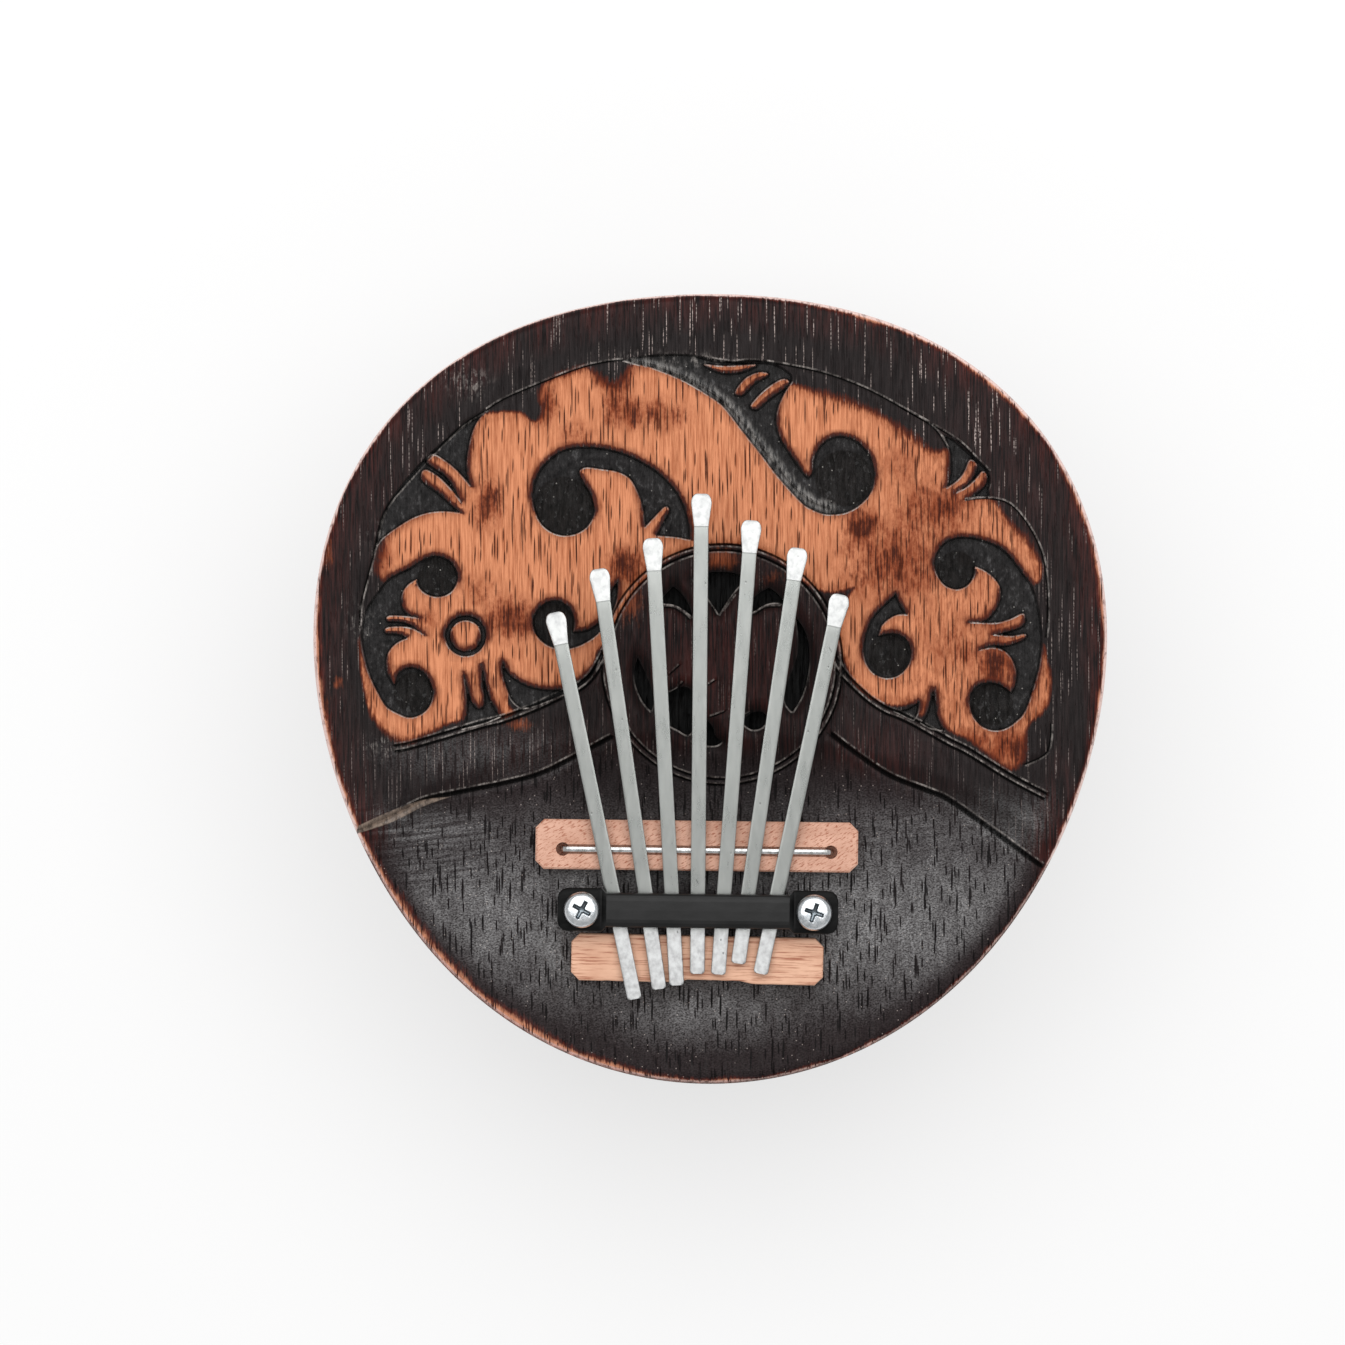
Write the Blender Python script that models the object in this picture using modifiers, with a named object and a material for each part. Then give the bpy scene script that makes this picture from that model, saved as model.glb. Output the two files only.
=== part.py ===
"""Coconut shell kalimba: half a coconut under a carved wooden board that carries seven steel tines."""

import math

import bmesh
import bpy
from mathutils import Matrix, Vector

# Board and shell, in metres
BOARD_RADIUS = 0.0675
BOARD_LOBE = 0.0021
BOARD_SQUARE = 0.0005
BOARD_THICKNESS = 0.0080
BOARD_EDGE_ROUND = 0.0014
BOARD_OVERHANG = 0.0010
SHELL_DEPTH = 0.0560
SHELL_WALL = 0.0040
SHELL_FOOT_RADIUS = 0.0130
CLEARANCE = 0.0003

# Carving in the board
CARVE_DEPTH = 0.0012
PIT_DEPTH = 0.0006
LINE_DEPTH = 0.0004
LINE_WIDTH = 0.0006
RING_DEPTH = 0.0005
DISH_DROP = 0.0016
DISH_CENTRE_BACK = 0.0256
DISH_APRON = 0.0070
DISH_SIDE = 0.0083
DISH_COVE = 0.0080

# Where the tines are held: the wire lies this far from the board's back edge and off its middle
WIRE_FROM_EDGE = 0.0397
DECK_SIDE_SHIFT = -0.0023
DECK_SKEW = math.radians(-0.7)

# Tines
TINE_WIDTH = 0.0025
TINE_SPACING = 0.0027
TINE_THICKNESS = 0.0010
TINE_EDGE = 0.00015
LONGEST_TONGUE = 0.0602
LONGEST_TAIL = 0.02575
TIP_WIDTH = 0.0035
TIP_LENGTH = 0.0055
TIP_EDGE_THICKNESS = 0.0005
TIP_SHOULDER = 0.3
TIP_BLUNTNESS = 0.45
TONGUE_RISE = math.radians(4.5)
TAIL_RISE = math.radians(3.0)
BEND_LENGTH = 0.0015

# Wire, bridges, pressure bar and screws
WIRE_RADIUS = 0.00055
WIRE_PROUD = 0.0007
WIRE_LEG = 0.0030
WIRE_BEND = 0.0013
WIRE_SIDE = 0.0057
BRIDGE_HEIGHT = 0.0050
BRIDGE_WIDTH = 0.0084
BRIDGE_FORWARD = 0.0008
BRIDGE_END = 0.0046
BRIDGE_CORNER = 0.0014
BRIDGE_EDGE = 0.0003
BAR_BACK = 0.0101
BAR_SIDE_SHIFT = 0.0003
BAR_WIDTH = 0.0058
BAR_HEIGHT = 0.0032
BAR_SHOULDER = 0.0008
BAR_SQUARENESS = 0.45
TAB_WIDTH = 0.0073
TAB_HEIGHT = 0.0018
TAB_LIFT = 0.0006
TAB_END = 0.0041
TAB_CORNER = 0.0017
SCREW_RADIUS = 0.0015
SCREW_HEAD_RADIUS = 0.00305
SCREW_HEAD_HEIGHT = 0.0020
SCREW_SIDE_GAP = 0.0018
SCREW_SKIN = 0.0014
SCREW_POINT = 0.0020
SLOT_LENGTH = 0.0034
SLOT_WIDTH = 0.0009
SLOT_DEPTH = 0.0012
SLOT_TURN_LEFT = 62
SLOT_TURN_RIGHT = 72
REAR_BRIDGE_BACK = 0.0184
REAR_BRIDGE_SKEW = math.radians(-0.6)
REAR_BRIDGE_LENGTH = 0.0426
REAR_BRIDGE_WIDTH = 0.0079

# Roundness of the meshes
BOARD_SEGMENTS = 108
SHELL_SEGMENTS = 72
SHELL_RINGS = 11
COVE_STEPS = 5
PIT_SEGMENTS = 14
RING_SEGMENTS = 36
ROUND_SEGMENTS = 20

# Each tine: place on the wire in pitches, shares of the longest tongue and tail, splay to the left in degrees
TINES = {
    "tine_1": (-3.02, 0.679, 1.000, 12.4),
    "tine_2": (-1.87, 0.796, 0.920, 8.9),
    "tine_3": (-0.89, 0.876, 0.885, 3.8),
    "tine_4": (0.05, 1.000, 0.806, 0.2),
    "tine_5": (0.99, 0.929, 0.810, -3.5),
    "tine_6": (1.87, 0.859, 0.742, -7.5),
    "tine_7": (2.90, 0.737, 0.816, -11.2),
}

# Carved pockets, drawn in hundredths of the board's radius from its middle; a third number marks a corner
POCKETS = {
    "scroll_left": [
        (-44.7, 45), (-43.6, 50.5), (-40.2, 54.8), (-36, 57.2), (-30.5, 57.7), (-25, 57), (-20, 55.4),
        (-15, 52.7), (-11, 49.5), (-8, 45.8), (-6.2, 42), (-5.2, 38), (-5, 34.2, 1), (-8.5, 34.9),
        (-13.6, 35.3, 1), (-12, 38.6), (-10.4, 41.6), (-11.3, 42.6), (-13.2, 40.8), (-16.4, 37.4, 1),
        (-16.8, 41), (-17.8, 45), (-20, 49.3), (-23, 51.2), (-27.5, 52), (-31.3, 52.4), (-32.8, 51.2),
        (-31.4, 48.4), (-29.6, 45), (-29, 41.2), (-30.6, 37.8), (-33.5, 35.8), (-37, 35.3), (-40.5, 36.5),
        (-43.3, 39.5),
    ],
    "scroll_right": [
        (-22, 79.3, 1), (-17, 80.6), (-11, 81), (-5, 80.9), (-1, 79.9), (3, 79.2), (8, 79.1), (13, 79),
        (17, 78.2), (20.3, 76), (20.6, 74, 1), (18.8, 71.2), (17.3, 68), (16.6, 65), (16.9, 62),
        (18.3, 58.8), (20.3, 55.6), (22.6, 52.4), (24.6, 50, 1), (25.6, 51.6), (26, 54.8), (27.5, 57.9),
        (30.5, 60.1), (34, 60.3), (37, 59), (39.6, 56.4), (41, 52.9), (41.2, 49), (40.2, 45.8),
        (37.6, 43), (34.5, 41.2), (31.5, 40.6), (28.5, 40.7), (25.5, 41.8), (22.5, 43.9), (19.5, 47),
        (16.5, 50.6), (13.5, 54.6), (10.5, 58.4), (7.5, 62.2), (4.5, 66.2), (1.5, 69.1), (-2, 71.5),
        (-6, 73.8), (-10, 75.6), (-14, 77.2), (-18, 78.2),
    ],
    "hook_left": [
        (-69, 30.4), (-65.6, 29.3), (-63.6, 26.6), (-63.5, 23.6), (-65.2, 21), (-68.2, 19.9),
        (-71.2, 20.6), (-73.2, 22.4), (-73.6, 24.4, 1), (-75.8, 23), (-77.3, 20.7), (-77.4, 18.2),
        (-76.2, 16), (-73, 14.6, 1), (-76.5, 15.1), (-80.6, 15.2), (-81, 14), (-78, 13.9), (-75, 13),
        (-71.8, 10.4, 1), (-75, 12.1), (-78, 12.5), (-81.2, 12.2), (-81.4, 11), (-78, 10.7), (-76, 9.6, 1),
        (-78.6, 8.4), (-80.6, 6.2), (-81.3, 3.4), (-80.8, 0.5), (-79.3, -2, 1), (-78.4, 0.7), (-76.4, 2.2),
        (-73.8, 2.2), (-71.4, 0.6), (-70, -1.8), (-69.6, -4.6), (-70.4, -7.5), (-72.6, -9.6),
        (-75.6, -10.4), (-78.6, -9.3), (-81.4, -7.6), (-83.4, -4.4), (-85.3, -0.4), (-86.7, 4), (-87.6, 9),
        (-87.4, 13.5), (-86.2, 17.5), (-84, 20.8), (-81.6, 23.8), (-78.5, 25.9), (-75.2, 27.5),
        (-72.2, 29.4),
    ],
    "hook_right": [
        (56.2, 28.5), (57.4, 32.2), (60.4, 34.6), (64.5, 35.1), (68.6, 34.3), (72.2, 32.8), (75.2, 30.4),
        (77.4, 27.6), (79.3, 25), (80.8, 22.8), (82.2, 18.5), (83.1, 13.5), (83.3, 8.5), (82.9, 4),
        (81.9, -0.5), (80.6, -4.6), (79.3, -8.4), (76.8, -11.4), (74, -13.2), (71, -13.6), (68, -12.5),
        (66, -10.2), (65.1, -7.2), (65.3, -4.4), (67, -2.2), (69.6, -1.4), (72.6, -1.9), (75.6, -3.9, 1),
        (76.6, -1.4), (76.7, 1.2), (75.8, 4), (74, 6.2), (71, 7.2), (67.5, 6.6, 1), (70.5, 7.9),
        (74.5, 7.9), (78.6, 9.4), (79, 10.6), (75.5, 10.1), (71, 10.5, 1), (75, 11.5), (78.6, 13),
        (78.6, 15.8), (75.4, 14.4), (71.5, 13.4), (65, 13.6, 1), (69, 14.2), (71.4, 16.6), (72.7, 19.4),
        (72.6, 22.4), (71, 24.8), (68.7, 26.6), (66.4, 27.6, 1), (66.2, 25.2), (64.7, 22.9), (62, 21.8),
        (59, 22.7), (57, 25.2),
    ],
    "curl_right": [
        (46.6, 20.9, 1), (43.8, 18.4), (41.4, 15.8), (39.5, 12.4), (38.6, 9), (38.5, 5.5), (39.5, 2.4),
        (41.6, 0.3), (44.6, -0.5), (47.6, 0.4), (49.8, 2.8), (50.5, 6), (49.6, 9), (47.2, 10.7),
        (44.6, 10.9), (42.3, 10.3, 1), (43.2, 12.8), (45.2, 14.6), (47.3, 15.5), (49.5, 15.5, 1),
        (48, 17.6),
    ],
    "curl_left": [
        (-34.3, 11.3, 1), (-34.1, 14.6), (-35.4, 17.4), (-38, 19.1), (-41, 18.8), (-43.5, 16.8),
        (-44.6, 13.8), (-44, 10.8), (-42, 8.5), (-39.5, 7.2), (-36.5, 6.8), (-33.5, 7.4), (-30.8, 8.7),
        (-28.2, 10.6), (-26, 13.2), (-24.4, 16.4), (-23.3, 20), (-23.1, 24.2, 1), (-24.9, 21.6),
        (-25.8, 18.6), (-27, 15.4), (-28.9, 13), (-31.2, 11.7),
    ],
    "corner_left": [
        (-56.3, 66.4, 1), (-59, 65), (-63.5, 62), (-68, 58.2), (-72, 54.6), (-75.5, 50.6), (-78.5, 47),
        (-81, 43.2), (-82.6, 39.4), (-83.8, 35.2), (-84.6, 30.6, 1), (-83.4, 33.2), (-81.4, 35.4),
        (-79, 37.1), (-76, 39), (-73, 40.4), (-70, 41.2), (-66.5, 41.4), (-62.6, 41, 1), (-65, 43.2),
        (-68, 46), (-71.4, 48.4), (-72.6, 50), (-71.6, 51.9), (-68.4, 50.2), (-65.4, 47.3),
        (-62.4, 43.6, 1), (-64.2, 47.2), (-66.6, 50.6), (-71, 53.8), (-69.6, 55.8), (-66.4, 54),
        (-63.4, 51.4), (-60.1, 47.6, 1), (-61, 51), (-61, 54.4), (-60.4, 58.6), (-59.3, 62.2),
        (-57.8, 64.8),
    ],
    "corner_right": [
        (58.4, 60.8, 1), (61, 59.6), (64, 57), (66.8, 54.6), (69.9, 51.4), (70.4, 48.8), (70, 46.8),
        (70.4, 45, 1), (67, 45), (64, 44.3, 1), (66.6, 46), (68.8, 48), (69.4, 50.2), (68.4, 51.5),
        (66.4, 49.3), (64.2, 47.4), (61.6, 46.1, 1), (64.4, 48.2), (66.2, 50.6), (66.9, 53),
        (65.2, 54.4), (63.6, 51), (61.6, 48.8), (59.2, 47.2, 1), (60.1, 50.4), (60.3, 53.6), (59.9, 57),
    ],
    "wedge_left": [
        (-52.2, 3.9, 1), (-50.8, 1.2), (-48.2, -1), (-45, -2.5), (-41, -3.2), (-37, -3), (-33.6, -1.5),
        (-30.6, 0.8), (-27.8, 4.4, 1), (-29.3, 0.6), (-32.4, -2.4), (-36, -4.2), (-40, -5.8), (-44, -7.4),
        (-47.6, -8, 1), (-49.8, -6), (-51.3, -2.6), (-52.2, 0.8),
    ],
    "leaf_left": [
        (-61.9, 0.6, 1), (-60.8, -3), (-59.6, -6.6), (-58, -8), (-56.8, -6.6), (-57.2, -2.6), (-57.4, 3, 1),
        (-56.6, -0.8), (-55.6, -4.4), (-54.2, -7.6), (-52.6, -10, 1), (-57, -11.8), (-62.4, -13.2, 1),
        (-61.2, -9.6), (-61.2, -5),
    ],
    "spur_right": [
        (55.9, -3, 1), (56.7, -6.5), (57.1, -10), (58.8, -13.6, 1), (55.4, -13), (52.8, -11.6, 1),
        (54.6, -8.6), (55.4, -5.6),
    ],
    "notch_right": [(46, -8.6, 1), (49.4, -8), (52.4, -6.2, 1), (52.2, -9), (51, -11, 1)],
}

# Round pits sunk at the ends of the scrolls: middle and radius
PITS = [
    (-36.8, 42.8, 6.3), (33.5, 49.8, 6.1), (-68.6, 25, 4.2), (-74.6, -4, 4.2), (61.8, 26.8, 4.1),
    (70.8, -7, 4.5), (44.8, 5.5, 4.4), (-39.3, 13.2, 4.3),
]

# Rings about one middle: its place and the two radii
SMALL_RING = (-61.4, 10.2, (5.2, 3.7))
ROSETTE_RING = (3, 3, (30, 29))

# Lines cut with a gouge: the edges of the dish and the lower border of the leaf
LINES = {
    "wing_left": [
        (-85.5, -37.4), (-78.2, -34), (-71.7, -30.9), (-64.1, -29.2), (-52.5, -26.9), (-42.9, -24.4),
        (-34.6, -20.4), (-26.4, -15.9),
    ],
    "wing_right": [
        (32, -15.5), (36, -18.8), (40, -21.5), (45, -24.8), (50, -26.8), (60, -31), (70.7, -38.5),
        (81.5, -46.4),
    ],
    "border_left": [(-80, -18.2), (-74, -17), (-69, -15.5), (-65.5, -14.5)],
    "border_right": [
        (32.4, 2.2), (36, -2.4), (40, -6.2), (44, -9), (48, -11.6), (52, -13.8), (56, -15.6), (60, -17.2),
        (65, -19.4), (70, -22), (75, -25.2), (80, -28),
    ],
}

# Leaf folds left standing inside the right scroll
FOLDS = [
    [(-1.5, 78.3), (3, 76.3), (8, 76.6), (11.5, 78.2), (8, 78.1), (3, 77.9)],
    [(6.2, 71.2), (8.2, 70.8), (11, 73.6), (14.6, 75.8), (12, 76.3), (8.6, 74.6)],
    [(10.2, 68), (11.8, 67.2), (14.6, 69.6), (19.6, 73.4), (18, 74.6), (13.6, 71.8)],
]

# Gaps pierced through the board between the petals of the rosette
PIERCINGS = {
    "gap_top": [
        (-4.5, 24.5, 1), (-1, 26), (2.5, 26.3), (6, 26), (9.5, 24.5, 1), (6.9, 22.4), (4.7, 19.6),
        (2.2, 15.6, 1), (-0.4, 19.4), (-2.2, 22),
    ],
    "gap_upper_left": [
        (-13.6, 18.3, 1), (-11.4, 20.6), (-9.3, 22.8, 1), (-7.1, 20.8), (-5.3, 18), (-4.4, 15, 1),
        (-6.4, 16.6), (-8.7, 17.9), (-11, 18.3),
    ],
    "gap_upper_right": [
        (9.2, 15.8, 1), (10.2, 18.8), (12.2, 21), (14.8, 22.4, 1), (17, 20.7), (19, 18.2, 1), (16, 18.6),
        (13.4, 17.9), (11.2, 16.5),
    ],
    "gap_right": [
        (21.4, 15, 1), (23.4, 12.2), (24.6, 8.6), (24.9, 4), (24.2, -1), (22.8, -5.4), (20.6, -9, 1),
        (18.8, -6.6), (18.9, -3), (20.2, 0.6), (21.6, 4.4), (22.1, 8.4), (21.9, 12),
    ],
    "gap_left": [
        (-18.2, 5, 1), (-19.1, 1.5), (-18.6, -2.6), (-16.9, -6.4), (-14.8, -8.8, 1), (-14.2, -6),
        (-15.1, -2), (-16.6, 1.6),
    ],
    "gap_lower_left": [
        (-12.8, -8.4), (-12.2, -5.4), (-10.3, -4), (-7.6, -2.6), (-5.3, -2.9), (-4.1, -5.2), (-3.8, -9),
        (-4.2, -12.6), (-5.5, -14.7), (-8, -13.5), (-11.2, -11.6),
    ],
    "gap_bottom": [
        (-2.2, -11.9), (-0.8, -11.2), (0.7, -12.8), (1.4, -15), (3, -16.4, 1), (1.4, -17.3), (-1.4, -17.1),
        (-2.7, -14.6),
    ],
    "gap_lower_right": [
        (8.2, -11.4), (10.3, -9.1), (13.2, -8.9), (14.3, -10.6), (13, -12.8), (10.4, -13.3),
    ],
}

# Heights and places that follow from the sizes above
BOARD_MIDDLE = Vector((0.0, BOARD_LOBE, 0.0))
BOARD_BOTTOM = SHELL_DEPTH + CLEARANCE
BOARD_TOP = BOARD_BOTTOM + BOARD_THICKNESS
DECK_TOP = BOARD_TOP - DISH_DROP
BACK_EDGE = BOARD_LOBE - (BOARD_RADIUS + BOARD_LOBE - BOARD_SQUARE)
DECK = Vector((DECK_SIDE_SHIFT, BACK_EDGE + WIRE_FROM_EDGE, DECK_TOP))
DECK_FRAME = Matrix.Translation(DECK) @ Matrix.Rotation(DECK_SKEW, 4, "Z")
BAR_FRAME = DECK_FRAME @ Matrix.Translation((BAR_SIDE_SHIFT, -BAR_BACK, 0.0))
REAR_PLACE = Matrix.Translation((BAR_SIDE_SHIFT, -REAR_BRIDGE_BACK, 0.0))
REAR_FRAME = DECK_FRAME @ REAR_PLACE @ Matrix.Rotation(REAR_BRIDGE_SKEW, 4, "Z")
WIRE_HEIGHT = CLEARANCE + BRIDGE_HEIGHT + WIRE_PROUD - WIRE_RADIUS
TINE_PITCH = TINE_WIDTH + TINE_SPACING
TINE_AT_WIRE = WIRE_HEIGHT + WIRE_RADIUS + CLEARANCE
OUTER_PLACE, _, _, OUTER_SPLAY = TINES["tine_1"]
FAN_HALF = abs(OUTER_PLACE) * TINE_PITCH
FAN_HALF_AT_BAR = FAN_HALF - BAR_BACK * math.tan(math.radians(OUTER_SPLAY))
WIRE_HALF = FAN_HALF + TINE_WIDTH / 2 + WIRE_SIDE
BRIDGE_LENGTH = 2 * (WIRE_HALF + BRIDGE_END)
SCREW_PLACE = FAN_HALF_AT_BAR + TINE_WIDTH / 2 + SCREW_HEAD_RADIUS + SCREW_SIDE_GAP
BAR_LENGTH = 2 * (SCREW_PLACE + TAB_END)

# Start with an empty scene
for leftover in list(bpy.data.objects):
    bpy.data.objects.remove(leftover, do_unlink=True)

PARTS = bpy.data.collections.new("coconut_shell_kalimba")
CUTTERS = bpy.data.collections.new("cutters")
CARVERS = bpy.data.collections.new("board_carvers")
for collection in (PARTS, CUTTERS, CARVERS):
    bpy.context.scene.collection.children.link(collection)


def make_material(name, colour, metallic, roughness):
    """A Principled material of one colour."""
    material = bpy.data.materials.new(name)
    material.use_nodes = True
    shader = material.node_tree.nodes["Principled BSDF"]
    shader.inputs["Base Color"].default_value = (*colour, 1.0)
    shader.inputs["Metallic"].default_value = metallic
    shader.inputs["Roughness"].default_value = roughness
    material.diffuse_color = (*colour, 1.0)
    return material


STAINED_WOOD = make_material("stained_wood", (0.13, 0.065, 0.042), 0.0, 0.55)
PALE_WOOD = make_material("pale_wood", (0.56, 0.33, 0.26), 0.0, 0.6)
COCONUT = make_material("coconut_shell", (0.085, 0.045, 0.026), 0.0, 0.5)
SPRING_STEEL = make_material("spring_steel", (0.56, 0.57, 0.56), 1.0, 0.35)
BLACK_STEEL = make_material("black_steel", (0.03, 0.03, 0.032), 0.6, 0.4)
ZINC = make_material("zinc_plate", (0.68, 0.68, 0.66), 1.0, 0.3)


def outline_radius(angle):
    """Radius of the board's edge: a circle swollen in three lobes like the section of a coconut."""
    return BOARD_RADIUS + BOARD_LOBE * math.sin(3 * angle) - BOARD_SQUARE * math.cos(4 * angle)


def smooth_closed(points, steps):
    """Points along a smooth closed line through the given points, sharp at the marked corners."""
    line = []
    count = len(points)
    for index in range(count):
        before, start, end, after = (points[(index + shift) % count] for shift in (-1, 0, 1, 2))
        if len(start) == 3:
            before = start
        if len(end) == 3:
            after = end
        for step in range(steps):
            t = step / steps
            line.append(tuple(
                b + 0.5 * t * (c - a + t * (2 * a - 5 * b + 4 * c - d + t * (3 * (b - c) + d - a)))
                for a, b, c, d in zip(before[:2], start[:2], end[:2], after[:2])
            ))
    return line


def on_board(points):
    """Turn hundredths of the board's radius into places on the board."""
    scale = BOARD_RADIUS / 100
    return [(BOARD_MIDDLE.x + u * scale, BOARD_MIDDLE.y + v * scale) for u, v in points]


def finish(name, mesh, material, matrix):
    """Put a finished mesh into the parts collection under its own name."""
    part = bpy.data.objects.new(name, mesh)
    part.matrix_world = matrix
    mesh.materials.clear()
    mesh.materials.append(material)
    PARTS.objects.link(part)
    return part


def as_cutter(name, mesh, matrix, collection):
    """A hidden solid that only cuts."""
    cutter = bpy.data.objects.new(name, mesh)
    cutter.matrix_world = matrix
    cutter.hide_render = True
    cutter.display_type = "WIRE"
    collection.objects.link(cutter)
    return cutter


def mesh_from_bmesh(name, work):
    """Write a bmesh into a mesh with its faces turned outwards."""
    bmesh.ops.recalc_face_normals(work, faces=work.faces[:])
    mesh = bpy.data.meshes.new(name)
    work.to_mesh(mesh)
    work.free()
    return mesh


def plate(name, outlines, bottom, top, edge_round=0.0):
    """A flat plate from closed outlines, the inner ones left open, with its edges rounded."""
    curve = bpy.data.curves.new(name, "CURVE")
    curve.dimensions = "2D"
    curve.fill_mode = "BOTH"
    curve.extrude = (top - bottom) / 2 - edge_round
    curve.bevel_depth = edge_round
    curve.bevel_resolution = 2
    curve.offset = -edge_round
    for outline in outlines:
        spline = curve.splines.new("POLY")
        spline.points.add(len(outline) - 1)
        for point, (x, y) in zip(spline.points, outline):
            point.co = (x, y, 0.0, 1.0)
        spline.use_cyclic_u = True
    holder = bpy.data.objects.new(name, curve)
    bpy.context.scene.collection.objects.link(holder)
    depsgraph = bpy.context.evaluated_depsgraph_get()
    mesh = bpy.data.meshes.new_from_object(holder.evaluated_get(depsgraph))
    bpy.data.objects.remove(holder, do_unlink=True)
    work = bmesh.new()
    work.from_mesh(mesh)
    bmesh.ops.remove_doubles(work, verts=work.verts[:], dist=0.000002)
    bmesh.ops.translate(work, verts=work.verts[:], vec=(0.0, 0.0, (top + bottom) / 2))
    bpy.data.meshes.remove(mesh)
    return mesh_from_bmesh(name, work)


def turned(name, profile, segments):
    """A solid of revolution about Z from a profile that starts and ends on the axis."""
    work = bmesh.new()
    verts = [work.verts.new((radius, 0.0, height)) for radius, height in profile]
    edges = [work.edges.new(pair) for pair in zip(verts, verts[1:])]
    bmesh.ops.spin(
        work, geom=verts + edges, cent=(0, 0, 0), axis=(0, 0, 1), angle=2 * math.pi, steps=segments,
        use_merge=True,
    )
    bmesh.ops.remove_doubles(work, verts=work.verts[:], dist=0.000002)
    return mesh_from_bmesh(name, work)


def pin(name, radius, start, length, direction, segments=ROUND_SEGMENTS):
    """A round cylinder that runs from a start point along a direction."""
    work = bmesh.new()
    bmesh.ops.create_cone(
        work, cap_ends=True, segments=segments, radius1=radius, radius2=radius, depth=length,
    )
    along = Vector(direction).normalized()
    turn = along.to_track_quat("Z", "Y").to_matrix().to_4x4()
    middle = Matrix.Translation(Vector(start) + along * length / 2)
    bmesh.ops.transform(work, matrix=middle @ turn, verts=work.verts[:])
    return mesh_from_bmesh(name, work)


def cut_with(part, name, operand):
    """Cut a part with a hidden solid, or with all the solids of a collection."""
    cut = part.modifiers.new(name, "BOOLEAN")
    cut.operation = "DIFFERENCE"
    cut.solver = "EXACT"
    if isinstance(operand, bpy.types.Collection):
        cut.operand_type = "COLLECTION"
        cut.collection = operand
    else:
        cut.object = operand


def soften(part, width, segments=1):
    """Break the sharp edges of a part."""
    bevel = part.modifiers.new("soften", "BEVEL")
    bevel.width = width
    bevel.segments = segments
    bevel.limit_method = "ANGLE"
    bevel.angle_limit = math.radians(50)


def stations(work, axis, places):
    """Divide a straight solid with flat cuts across an axis."""
    for place in places:
        bmesh.ops.bisect_plane(
            work, geom=work.verts[:] + work.edges[:] + work.faces[:], plane_co=Vector(axis) * place,
            plane_no=axis,
        )


# The shell is a turned half ellipsoid, ground flat at its foot and swollen like the board
rim_radius = BOARD_RADIUS - BOARD_OVERHANG
foot_angle = math.acos(SHELL_FOOT_RADIUS / rim_radius)
outer_depth = SHELL_DEPTH / math.sin(foot_angle)
inner_radius = rim_radius - SHELL_WALL
inner_depth = SHELL_DEPTH - SHELL_WALL
shell_profile = [(0.0, 0.0)]
for ring in range(SHELL_RINGS + 1):
    angle = foot_angle * (1 - ring / SHELL_RINGS)
    shell_profile.append((rim_radius * math.cos(angle), SHELL_DEPTH - outer_depth * math.sin(angle)))
for ring in range(SHELL_RINGS + 1):
    angle = math.pi / 2 * ring / SHELL_RINGS
    shell_profile.append((inner_radius * math.cos(angle), SHELL_DEPTH - inner_depth * math.sin(angle)))
shell_mesh = turned("coconut_shell", shell_profile, SHELL_SEGMENTS)
for vert in shell_mesh.vertices:
    angle = math.atan2(vert.co.y, vert.co.x)
    swell = (outline_radius(angle) - BOARD_OVERHANG) / rim_radius
    vert.co.x *= swell
    vert.co.y *= swell
finish("coconut_shell", shell_mesh, COCONUT, Matrix.Translation(BOARD_MIDDLE))

# The board follows the shell's rounded triangle
board_outline = []
for index in range(BOARD_SEGMENTS):
    angle = 2 * math.pi * index / BOARD_SEGMENTS
    radius = outline_radius(angle)
    edge = BOARD_MIDDLE + radius * Vector((math.cos(angle), math.sin(angle), 0.0))
    board_outline.append((edge.x, edge.y))
board_mesh = plate("soundboard", [board_outline], BOARD_BOTTOM, BOARD_TOP, BOARD_EDGE_ROUND)
board = finish("soundboard", board_mesh, STAINED_WOOD, Matrix.Identity(4))

# The playing end is dished down to a flat floor that holds the bridges
bridge_front = BRIDGE_FORWARD + BRIDGE_WIDTH / 2
floor_half_depth = DISH_CENTRE_BACK + bridge_front + DISH_APRON
floor_reach = math.sqrt(1 - ((DISH_CENTRE_BACK + bridge_front) / floor_half_depth) ** 2)
floor_half_length = (BRIDGE_LENGTH / 2 + DISH_SIDE) / floor_reach
dish_profile = [(0.0, 0.0), (floor_half_depth, 0.0)]
for step in range(1, COVE_STEPS + 2):
    t = step / COVE_STEPS
    dish_profile.append((floor_half_depth + DISH_COVE * t, DISH_DROP * t * t))
dish_profile.append((0.0, dish_profile[-1][1]))
dish_mesh = turned("dish", dish_profile, BOARD_SEGMENTS)
stretch = Matrix.Diagonal((floor_half_length / floor_half_depth, 1.0, 1.0, 1.0))
dish_mesh.transform(stretch)
dish_middle = DECK - Vector((0.0, DISH_CENTRE_BACK, 0.0))
dish = as_cutter("dish", dish_mesh, Matrix.Translation(dish_middle), CUTTERS)
cut_with(board, "dish", dish)


def lowered_into_dish(mesh):
    """Let a cutter follow the dish's floor and cove."""
    for vert in mesh.vertices:
        x = (vert.co.x - dish_middle.x) * floor_half_depth / floor_half_length
        up_cove = (math.hypot(x, vert.co.y - dish_middle.y) - floor_half_depth) / DISH_COVE
        vert.co.z -= DISH_DROP * (1 - min(1.0, max(0.0, up_cove)) ** 2)
    return mesh


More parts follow.
